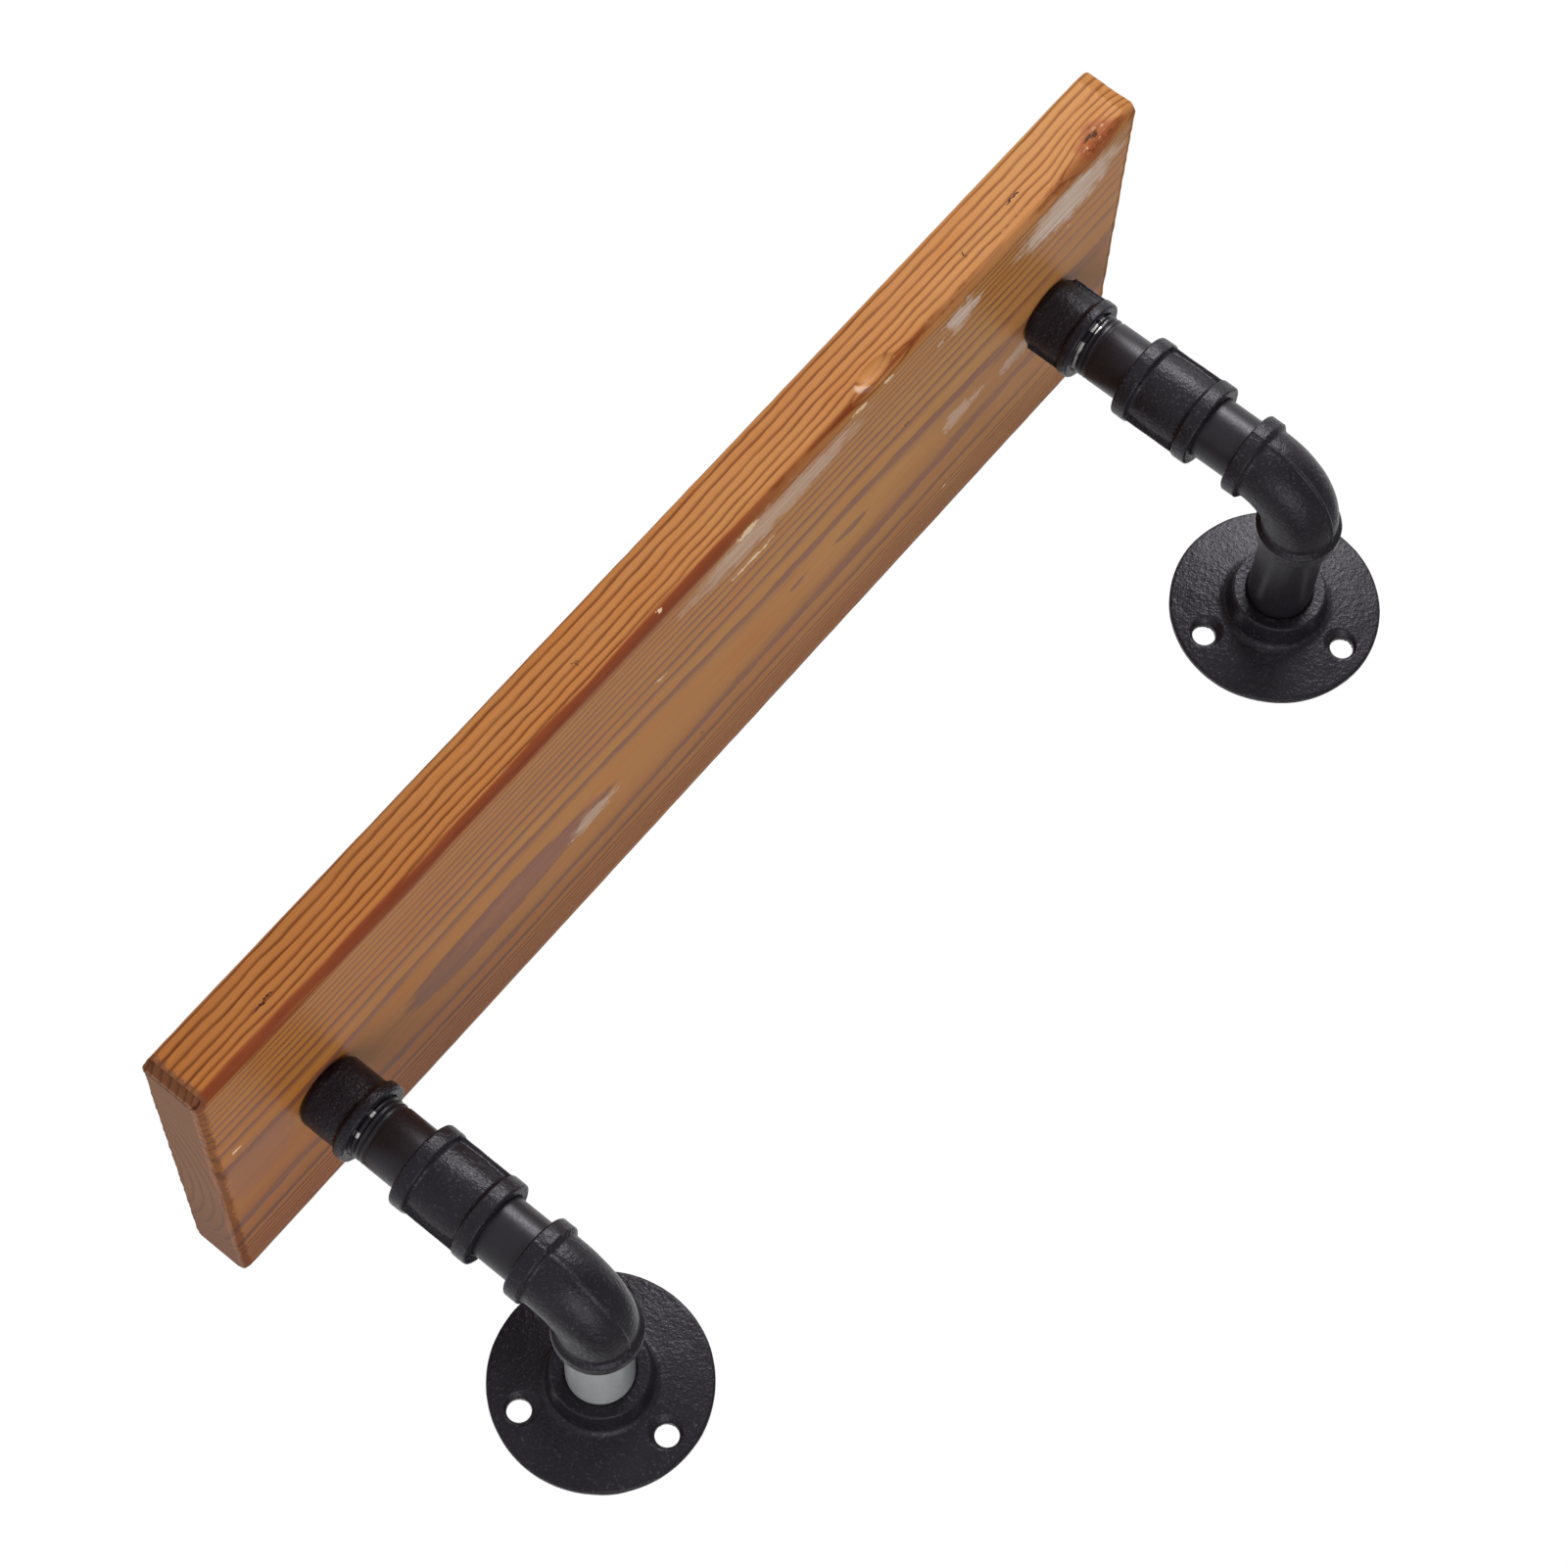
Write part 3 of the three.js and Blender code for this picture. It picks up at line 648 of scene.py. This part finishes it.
def makeFlange():
    f = flange
    rim, soft, thick, hub, top = f["radius"], f["rimSoft"], f["rimHeight"], f["hub"], f["height"]
    # from the bore outwards over the back, round the rim, up the dome and the hub, and into the mouth
    made = turnedSleeve("flangeCasting", f["sides"], [
        (f["bore"], 0), (rim - soft, 0), (rim - 0.3 * soft, 0.3 * soft), (rim, soft), (rim, thick - 1.2 * soft),
        (rim - 0.3 * soft, thick - 0.4 * soft), (rim - 1.2 * soft, thick), (f["holeCircle"], f["holeFace"]),
        *f["dome"], (hub, top - f["hubSoft"]), (hub - f["hubSoft"], top), (f["mouth"], top),
        (f["bore"], top - f["mouthDepth"])])
    rise = (f["sinkRadius"] - f["holeRadius"]) / f["sinkDepth"] * past
    for number in range(3):
        angle = math.radians(120 * number)
        plug = turnedPlug("holePlug", 48, [
            (f["holeRadius"], -past), (f["holeRadius"], f["holeFace"] - f["sinkDepth"]),
            (f["sinkRadius"] + rise, f["holeFace"] + past)])
        putAt(plug, (f["holeCircle"] * math.sin(angle), -f["holeCircle"] * math.cos(angle), 0))
        cutAway(made, plug)
    soften(made)
    # it was turned lying on its back, and now it stands against the wall
    putAt(made, turn=(90, 0, 0))
    return made


finishCastings(makeFlange(), "flangeCasting", "wall_flange", lambda low, high: ((low.x + high.x) / 2, 0, 0),
               flange["turns"])
print("wall flanges made")


# elbows

elbow = {
    "reach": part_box("elbow_left")[1].z, "bend": 0.017, "body": 0.0124,
    "bead": 0.014, "beadWidth": 0.006, "beadSoft": 0.0007, "beadFoot": 0.0003, "footHeight": 0.0006,
    "mouth": 0.0112, "mouthDepth": 0.0006, "socket": 0.0104, "socketDepth": 0.0111, "passage": 0.00805,
    "seamHeight": 0.0005, "seamWidth": 0.0030, "beadSeam": 0.0011, "beadSeamHeight": 0.0014, "seamSoft": 0.0002,
    "sides": 96, "bendSteps": 24,
}


def makeSeam():
    # the mould's parting line: a low keel along the back of the bend, cut from a ring, and over both beads
    e = elbow
    out = e["bend"] + e["body"]
    seam = turnedSleeve("elbowSeam", 120, [
        (out - past, -e["seamWidth"] / 2), (out + e["seamHeight"], -e["seamSoft"]),
        (out + e["seamHeight"], e["seamSoft"]), (out - past, e["seamWidth"] / 2)])
    putAt(seam, (0, e["bend"], -e["bend"]), (0, 90, 0))
    setMode("EDIT")
    for normal in ((0, 1, 0), (0, 0, -1)):
        selectAll()
        bpy.ops.mesh.bisect(plane_co=(0, e["bend"], -e["bend"]), plane_no=normal, clear_outer=True, use_fill=True)
    setMode("OBJECT")
    middle, outside = e["reach"] - e["beadWidth"] / 2, e["bead"] - 0.0005
    wide, high, long = e["beadSeam"], e["beadSeamHeight"], e["beadWidth"] * 0.9
    joinTo(seam, [makeBlock("beadSeam", (0, -outside, -middle), (wide, high, long), e["seamSoft"]),
                  makeBlock("beadSeam", (0, middle, outside), (wide, long, high), e["seamSoft"])])
    return seam


def makeElbow():
    # bent about X from -Z round to +Y, and turned into place at the end
    e = elbow
    soft, width, reach, foot, rise = e["beadSoft"], e["beadWidth"], e["reach"], e["beadFoot"], e["footHeight"]
    neck = reach - e["bend"] - width - foot - rise
    made = capEnds(extrudeRings("elbowCasting", e["sides"], e["bead"] - soft, -reach, [
        ("go", e["bead"], soft), ("go", e["bead"], width - 2 * soft), ("go", e["bead"] - soft, soft),
        ("go", e["body"] + foot, foot), ("go", e["body"], rise), ("go", e["body"], neck),
        ("turn", 90, e["bend"], e["bendSteps"]), ("go", e["body"], neck), ("go", e["body"] + foot, rise),
        ("go", e["bead"] - soft, foot), ("go", e["bead"], soft), ("go", e["bead"], width - 2 * soft),
        ("go", e["bead"] - soft, soft)]))
    for turn in (0, 90):
        plug = turnedPlug("socketPlug", 48, [
            (e["socket"], e["socketDepth"] - reach), (e["socket"], e["mouthDepth"] - reach),
            (e["mouth"] + past, -reach - past)])
        putAt(plug, turn=(turn, 0, 0))
        cutAway(made, plug)
    passageEnd = reach - e["bend"] - 2 * past
    plug = capEnds(extrudeRings("passagePlug", 32, e["passage"], 2 * past - reach, [
        ("go", e["passage"], passageEnd), ("turn", 90, e["bend"], 12), ("go", e["passage"], passageEnd)]))
    cutAway(made, plug)
    joinTo(made, [makeSeam()])
    soften(made)
    putAt(made, turn=(90, 0, 0))
    return made


finishCastings(makeElbow(), "elbowCasting", "elbow",
               lambda low, high: ((low.x + high.x) / 2, high.y - elbow["reach"], 0))
print("elbows made")


# couplings

couplingLow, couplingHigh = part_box("coupling_left")
coupling = {
    "length": couplingHigh.z - couplingLow.z, "band": 0.0146, "bandWidth": 0.0058, "bandSoft": 0.0008,
    "waist": 0.013, "belly": 0.0134, "rib": 0.014, "ribWidth": 0.0095, "ribSoft": 0.0005,
    "mouth": 0.0112, "mouthDepth": 0.0006, "socket": 0.0104,
    "turns": {"left": (0, 0, -12), "right": (0, 0, -27)}, "sides": 96,
}


def bandRings(radius, width, soft, foot):
    # a band with rounded edges that ends on a body of the radius foot
    return [(radius - soft, 0), (radius - 0.3 * soft, 0.3 * soft), (radius, soft), (radius, width - soft),
            (radius - 0.3 * soft, width - 0.3 * soft), (radius - soft, width), (foot + 0.0003, width + 0.0002),
            (foot, width + 0.0007)]


def makeCoupling():
    c = coupling
    length, width = c["length"], c["bandWidth"]
    half = bandRings(c["band"], width, c["bandSoft"], c["waist"]) + [
        ((c["waist"] + 2 * c["belly"]) / 3, length * 0.33)]
    mirrored = [(radius, length - height) for radius, height in reversed(half)]
    made = turnedSleeve("couplingCasting", c["sides"], half + [(c["belly"], length / 2)] + mirrored + [
        (c["mouth"], length), (c["socket"], length - c["mouthDepth"]), (c["socket"], c["mouthDepth"]), (c["mouth"], 0)])
    addRibs(made, "couplingRib", c, "waist", width / 2, length - width / 2)
    soften(made)
    return made


finishCastings(makeCoupling(), "couplingCasting", "coupling", onItsFoot, coupling["turns"])
print("couplings made")


# caps

capLow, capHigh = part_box("pipe_cap_left")
cap = {
    "length": capHigh.z - capLow.z, "bead": 0.014, "beadWidth": 0.0042, "beadSoft": 0.0008, "body": 0.0125,
    "crownSoft": 0.0024, "end": 0.004, "rib": 0.0135, "ribWidth": 0.005, "ribSoft": 0.0006, "ribTopGap": 0.0026,
    "mouth": 0.0112, "mouthDepth": 0.0006, "socket": 0.0104, "socketSoft": 0.001, "screwHole": 0.00225,
    "turns": {"left": (0, 0, -83), "right": (0, 0, -27)}, "sides": 96,
}


def makeCap():
    c = cap
    length, width, crown, inside = c["length"], c["beadWidth"], c["crownSoft"], c["length"] - c["end"]
    roundOver = [(c["body"] - crown * (1 - math.cos(angle)), length - crown * (1 - math.sin(angle)))
                 for angle in (math.pi / 8 * step for step in range(5))]
    rings = bandRings(c["bead"], width, c["beadSoft"], c["body"]) + roundOver
    made = turnedSleeve("capCasting", c["sides"], rings + [
        (c["screwHole"], length), (c["screwHole"], inside), (c["socket"] - c["socketSoft"], inside),
        (c["socket"], inside - c["socketSoft"]), (c["socket"], c["mouthDepth"]), (c["mouth"], 0)])
    addRibs(made, "capRib", c, "body", width / 2, length - c["ribTopGap"])
    soften(made)
    return made


finishCastings(makeCap(), "capCasting", "pipe_cap", onItsFoot, cap["turns"])
print("caps made")


# pipes

pipe = {
    "radius": 0.01065, "bore": 0.00805, "endSoft": 0.001, "ring": 0.002, "sides": 96,
    # how bare the left wall pipe is at these degrees round it, counted from +X towards the shelf: its fading from 225
    # degrees on is painted shade
    "rubbed": [(100, 0.0), (150, 1.0), (225, 1.0), (300, 0.25), (340, 0.0)],
}


def makePipe(name, length):
    p = pipe
    soft, radius = p["endSoft"], p["radius"]
    count = round((length - 2 * soft) / p["ring"])
    wall = [(radius, soft + (length - 2 * soft) * step / count) for step in range(count + 1)]
    return turnedSleeve(name, p["sides"], [
        (p["bore"], 0), (radius - soft, 0), (radius - 0.3 * soft, 0.3 * soft), *wall,
        (radius - 0.3 * soft, length - 0.3 * soft), (radius - soft, length), (p["bore"], length)])


# the thread that shows under the cap: a cut core with one ridge wound round it
thread = {
    "pitch": 0.001814, "crest": 0.01065, "rootStart": 0.0104, "root": 0.0098, "shown": 0.0058, "turns": 5,
    "startsAt": {"left": math.degrees(0.6), "right": math.degrees(-0.4)},
    # stretches in degrees round the pipe, and how bare each is
    "rubbed": {"left": [(264, 278, 1.0), (225, 235, 0.8)],
               "right": [(217, 233, 1.0), (255, 275, 1.0), (170, 214, 0.55), (282, 298, 0.6)]},
    "rubbedDepth": 0.0016,
}


def makeRidge(name, outer, inner, pitch, turns, steps):
    # an eight-sided ring in the XZ plane, one side flat outwards, wound up round Z
    halfSide = math.radians(22.5)
    ridge = startPiece(name, bpy.ops.mesh.primitive_circle_add, vertices=8, radius=1,
                       rotation=(math.radians(90), halfSide, 0))
    setMode("EDIT")
    selectAll()
    bpy.ops.transform.resize(value=((outer - inner) / math.cos(halfSide), 1, pitch * 0.54))
    bpy.ops.transform.translate(value=(inner, 0, 0))
    setMode("OBJECT")
    applyModifier(ridge, "SCREW", {"axis": "Z", "angle": 2 * math.pi, "screw_offset": pitch, "iterations": turns,
                                   "steps": steps, "render_steps": steps})
    setMode("EDIT")
    return capEnds(ridge)


def makeThreadedPipe(name, length, threadFrom):
    p, t = pipe, thread
    made = turnedSleeve(name, p["sides"], [
        (p["bore"], 0), (p["radius"] - p["endSoft"], 0), (p["radius"], p["endSoft"]), (p["radius"], threadFrom),
        (p["radius"] - 0.0001, threadFrom + 0.0002), (t["rootStart"], threadFrom + 0.0007),
        (t["root"], threadFrom + t["shown"]), (t["root"], length - p["endSoft"]),
        (t["root"] - p["endSoft"], length), (p["bore"], length)])
    ridge = makeRidge("threadRidge", t["crest"], t["root"] - 0.0002, t["pitch"], t["turns"], p["sides"])
    putAt(ridge, (0, 0, threadFrom + 0.0006))
    joinTo(made, [ridge])
    return made


def setPipe(piece, place, turn, node, material):
    putAt(piece, place, turn)
    smoothBy(piece, 35)
    finishPiece(piece, node, material)


def rubBare(piece, howBare):
    # writes down how far the lacquer has rubbed through at each vertex
    rubbed = piece.data.attributes.new("rubbed", "FLOAT", "POINT")
    for index, vertex in enumerate(piece.data.vertices):
        rubbed.data[index].value = howBare(vertex.co)


def degreesRound(first, second):
    return math.degrees(math.atan2(second, first)) % 360


for side in sides:
    low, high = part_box("wall_nipple_" + side)
    middle = (low + high) / 2
    wallPipe = makePipe("wallPipe_" + side, high.y - low.y)
    setPipe(wallPipe, (middle.x, high.y, middle.z), (90, 0, 0), "wall_nipple_" + side,
            {"left": greySkin, "right": pipeSkin}[side])
    if side == "left":
        # the lacquer has rubbed through to grey steel on the side that faces the left end, and its fading round the
        # pipe is painted shade
        def howBare(co):
            around = degreesRound(co.x - middle.x, co.z)
            return next((less + (more - less) * (around - start) / (end - start)
                         for (start, less), (end, more) in zip(pipe["rubbed"], pipe["rubbed"][1:])
                         if start <= around <= end), 0.0)
        rubBare(wallPipe, howBare)

    low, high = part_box("lower_nipple_" + side)
    setPipe(makePipe("lowerPipe_" + side, high.z - low.z), onItsFoot(low, high), (0, 0, 0),
            "lower_nipple_" + side, pipeSkin)

    low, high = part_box("upper_nipple_" + side)
    middle = (low + high) / 2
    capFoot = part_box("pipe_cap_" + side)[0].z
    upperPipe = makeThreadedPipe("upperPipe_" + side, high.z - low.z, capFoot - thread["shown"] - low.z)
    setPipe(upperPipe, onItsFoot(low, high), (0, 0, thread["startsAt"][side]), "upper_nipple_" + side, threadSkin)

    # the cap has rubbed the last crest below it bare over a few stretches
    def howBare(co):
        out = co - middle
        if co.z <= capFoot - thread["rubbedDepth"] or math.hypot(out.x, out.y) <= thread["crest"] - 0.0001:
            return 0.0
        around = degreesRound(out.x, out.y)
        return max([much for start, end, much in thread["rubbed"][side] if start <= around <= end], default=0.0)
    rubBare(upperPipe, howBare)
print("pipes made")


# the screws that hold the caps to the board, round-headed, with a cross slot

screw = {
    "radius": 0.0020, "core": 0.0015, "neck": 0.003, "length": 0.018, "point": 0.004, "tip": 0.00012,
    "pitch": 0.0018, "turns": 6, "sides": 32,
    "head": 0.004, "headHeight": 0.0026, "slotWidth": 0.001, "slotDepth": 0.0013,
}


def makeScrew():
    s = screw
    head, top, core, radius = s["head"], s["headHeight"], s["core"], s["radius"]
    made = turnedPlug("capScrew", s["sides"], [
        (head * 0.45, 0), (head * 0.75, 0.0003), (head * 0.94, 0.0009), (head, 0.0017), (head, top),
        (radius + 0.0002, top), (radius, top + 0.0002), (radius, top + s["neck"]), (core, top + s["neck"] + 0.0005),
        (core, top + s["length"] - s["point"]), (s["tip"], top + s["length"])])
    for turn in (0, 90):
        slot = makeBlock("slot", (0, 0, 0), (head * 1.3, s["slotWidth"], 2 * s["slotDepth"]), 0.0001)
        putAt(slot, turn=(0, 0, turn))
        cutAway(made, slot)
    ridge = makeRidge("screwRidge", radius, core - 0.0001, s["pitch"], s["turns"], s["sides"])
    putAt(ridge, (0, 0, top + s["neck"] - 0.0002))
    joinTo(made, [ridge])
    return made


screwMaster = makeScrew()
for side in sides:
    copy = copyPiece(screwMaster, "capScrew_" + side, onItsFoot(*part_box("cap_screw_" + side)))
    smoothBy(copy, 35)
    finishPiece(copy, "cap_screw_" + side, wireSkin)
deletePiece(screwMaster)
print("cap screws made")


# the board

plank = {
    "edgeRound": 0.0026, "edgeSteps": 5, "worn": 2.1, "endChamfer": 0.0013, "endRing": 0.0012, "cell": 0.0026,
    "frayed": 0.0030, "frayedBy": (0.0014, 0.0020), "frayedCorner": 0.0022, "frayedReach": 0.0068,
    "scoop": ((0.0835, -0.1580, 0.1073), (0.0110, 0.0062, 0.0041)),
    "knot": ((0.189, -0.1540, 0.1055), (0.0078, 0.0060, 0.0034)), "knotDepth": 0.0011, "knotSize": 0.0018,
    "endWear": 0.0007, "edgeWear": 0.00025, "wearSize": 0.0035, "wornNear": 0.0020, "wornAlong": 0.0027,
}
nearly = 0.00001   # places this close are the same
wearPattern = bpy.data.textures.new("edgeWear", "CLOUDS")
wearPattern.noise_scale = plank["wearSize"]
wearPattern.noise_depth = 3
tornPattern = bpy.data.textures.new("tornFibres", "CLOUDS")
tornPattern.noise_scale = plank["knotSize"]
tornPattern.noise_depth = 2


def edgesAlong(piece, axis, longerThan):
    # marks the edges that run along one axis, and gives back the length of the longest
    startMarking("EDGE")
    longest = 0
    for edge in piece.data.edges:
        start, end = (piece.data.vertices[index].co for index in edge.vertices)
        run = end - start
        edge.select = run.length > longerThan and abs(run[axis]) > 0.999 * run.length
        if edge.select:
            longest = max(longest, run.length)
    setMode("EDIT")
    return longest


def makePlank():
    made = startPiece("shelfPlank", bpy.ops.mesh.primitive_cube_add, size=1, location=(boardLow + boardHigh) / 2,
                      scale=boardHigh - boardLow)
    edgesAlong(made, 0, 0.1)
    bpy.ops.mesh.bevel(offset=plank["edgeRound"], segments=plank["edgeSteps"], affect="EDGES")
    # the lower front edge is worn further in over the underside
    corner = plank["edgeRound"] + nearly
    selectWhere(made, lambda co: co.y < boardLow.y + corner and co.z < boardLow.z + corner)
    bpy.ops.transform.resize(value=(1, plank["worn"], 1), center_override=(0, boardLow.y, boardLow.z))
    # both ends: the sawn rim is taken off, and a ring of small faces lies inside it
    for x in (boardLow.x, boardHigh.x):
        selectWhere(made, lambda co: abs(co.x - x) < nearly, "FACE")
        bpy.ops.mesh.region_to_loop()
        bpy.ops.mesh.bevel(offset=plank["endChamfer"], segments=2, affect="EDGES")
        selectWhere(made, lambda co: abs(co.x - x) < nearly, "FACE")
        bpy.ops.mesh.inset(thickness=plank["endRing"])
    for axis in range(3):
        longest = edgesAlong(made, axis, plank["cell"] * 1.5)
        bpy.ops.mesh.subdivide(number_cuts=int(longest / plank["cell"]))
    setMode("OBJECT")
    # the left end is frayed in front: its chamfer is wider there and gets finer faces
    inner, outer = plank["frayedBy"]
    chamfer = plank["endChamfer"]
    for inChamfer, move in ((lambda deep: abs(deep) < nearly, (0, inner, 0)),
                            (lambda deep: nearly < deep < chamfer * 0.8, (outer / 2, inner / 2, 0)),
                            (lambda deep: abs(deep - chamfer) < 0.0002, (outer, 0, 0))):
        selectWhere(made, lambda co: co.y < boardLow.y + plank["frayedCorner"] and inChamfer(co.x - boardLow.x))
        bpy.ops.transform.translate(value=move)
    selectWhere(made, lambda co: co.x < boardLow.x + plank["frayedReach"], "FACE")
    bpy.ops.mesh.subdivide(number_cuts=2)
    setMode("OBJECT")
    # worn arrises: the long ones a little, the sawn ends much more
    worn = {name: made.vertex_groups.new(name=name) for name in ("endWear", "edgeWear")}
    for vertex in made.data.vertices:
        fromEnd, fromSide, fromFace = (min(vertex.co[axis] - boardLow[axis], boardHigh[axis] - vertex.co[axis])
                                       for axis in range(3))
        # near two faces at once
        if fromEnd < plank["frayed"] and sorted((fromEnd, fromSide, fromFace))[1] < plank["wornNear"]:
            worn["endWear"].add([vertex.index], 1.0, "REPLACE")
        elif fromSide < plank["wornAlong"] and fromFace < plank["wornAlong"]:
            worn["edgeWear"].add([vertex.index], 1.0, "REPLACE")
    for name in worn:
        applyModifier(made, "DISPLACE", {"texture": wearPattern, "strength": plank[name], "mid_level": 1.0,
                                         "vertex_group": name})
    # nothing of the fraying may stand out past the sawn end
    selectWhere(made, lambda co: co.x < boardLow.x)
    bpy.ops.transform.resize(value=(0, 1, 1), center_override=(boardLow.x, 0, 0))
    setMode("OBJECT")
    # the planer tore the fibres out round a knot: finer faces there, pushed in unevenly
    middle, half = plank["knot"]
    fromKnot = lambda co: Vector([(c - m) / h for c, m, h in zip(co, middle, half)]).length
    selectWhere(made, lambda co: fromKnot(co) < 1.3, "FACE")
    bpy.ops.mesh.subdivide(number_cuts=6)
    setMode("OBJECT")
    tornOut = made.vertex_groups.new(name="tornOut")
    for vertex in made.data.vertices:
        if fromKnot(vertex.co) < 1:
            tornOut.add([vertex.index], 1 - fromKnot(vertex.co) ** 2, "REPLACE")
    applyModifier(made, "DISPLACE", {"texture": tornPattern, "strength": plank["knotDepth"], "mid_level": 1.0,
                                     "vertex_group": "tornOut"})
    # a smooth scoop where a splinter came off before the board was finished
    middle, half = plank["scoop"]
    cutAway(made, startPiece("scoopBall", bpy.ops.mesh.primitive_uv_sphere_add, segments=64, ring_count=48,
                             radius=1, location=middle, scale=half))
    smoothBy(made, 40)
    return made


finishPiece(makePlank(), "shelf_board", woodSkin)
print("board made")


# the room: floor, lamps, white surroundings, camera

room = {
    "floorHeight": -1.2, "floorSize": 6.0, "floorColour": "#e9e8e6",
    "keyPlace": (1.0, -1.0, 0.42), "keySize": 0.6, "keyPower": 17.0,
    "fillPlace": (-0.8, -0.6, -0.9), "fillSize": 1.0, "fillPower": 10.6,
    "lampAim": (0, -0.08, 0.06), "ambient": 0.32,
}
deselectAll()
bpy.ops.mesh.primitive_plane_add(size=room["floorSize"], location=(0, -0.1, room["floorHeight"]))
floor = bpy.context.object
floor.name = "floor"
floorPaper, floorShader = newMaterial("matPaper")[:2]
fillIn(floorShader, {"Base Color": linear(room["floorColour"]), "Roughness": 0.9})
floor.data.materials.append(floorPaper)

for name in ("key", "fill"):
    deselectAll()
    bpy.ops.object.light_add(type="AREA", location=room[name + "Place"])
    lamp = bpy.context.object
    lamp.name = name + "Lamp"
    lamp.data.size = room[name + "Size"]
    lamp.data.energy = room[name + "Power"]
    aim = Vector(room["lampAim"]) - Vector(room[name + "Place"])
    lamp.rotation_euler = aim.to_track_quat("-Z", "Y").to_euler()

world = bpy.data.worlds.new("whiteRoom")
bpy.context.scene.world = world
world.use_nodes = True
air = world.node_tree
rays = addNode(air, "LightPath").node.outputs
seen = addNode(air, "Math", larger, {0: rays["Is Camera Ray"], 1: rays["Is Glossy Ray"]})
clear = addNode(air, "Math", larger, {0: seen, 1: rays["Is Transmission Ray"]})
strength = addNode(air, "MapRange", {"To": (room["ambient"], 1.0)}, {"Value": clear})
fillIn(air.nodes["Background"], {"Color": (1, 1, 1, 1)}, {"Strength": strength})

# the camera stands where the photograph was taken from: below, in front and to the left, rolled
view = {"place": (-0.42372, -1.23105, -0.24204), "turn": (112.3761, 50.5876, -2.106), "lens": 95.7546}
bpy.ops.object.camera_add(location=view["place"], rotation=[math.radians(a) for a in view["turn"]])
camera = bpy.context.object
camera.name = "photoCamera"
camera.data.lens = view["lens"]
camera.data.sensor_width = 36
camera.data.clip_end = 20
bpy.context.scene.camera = camera
bpy.context.scene.view_settings.view_transform = "Standard"
print("room made")
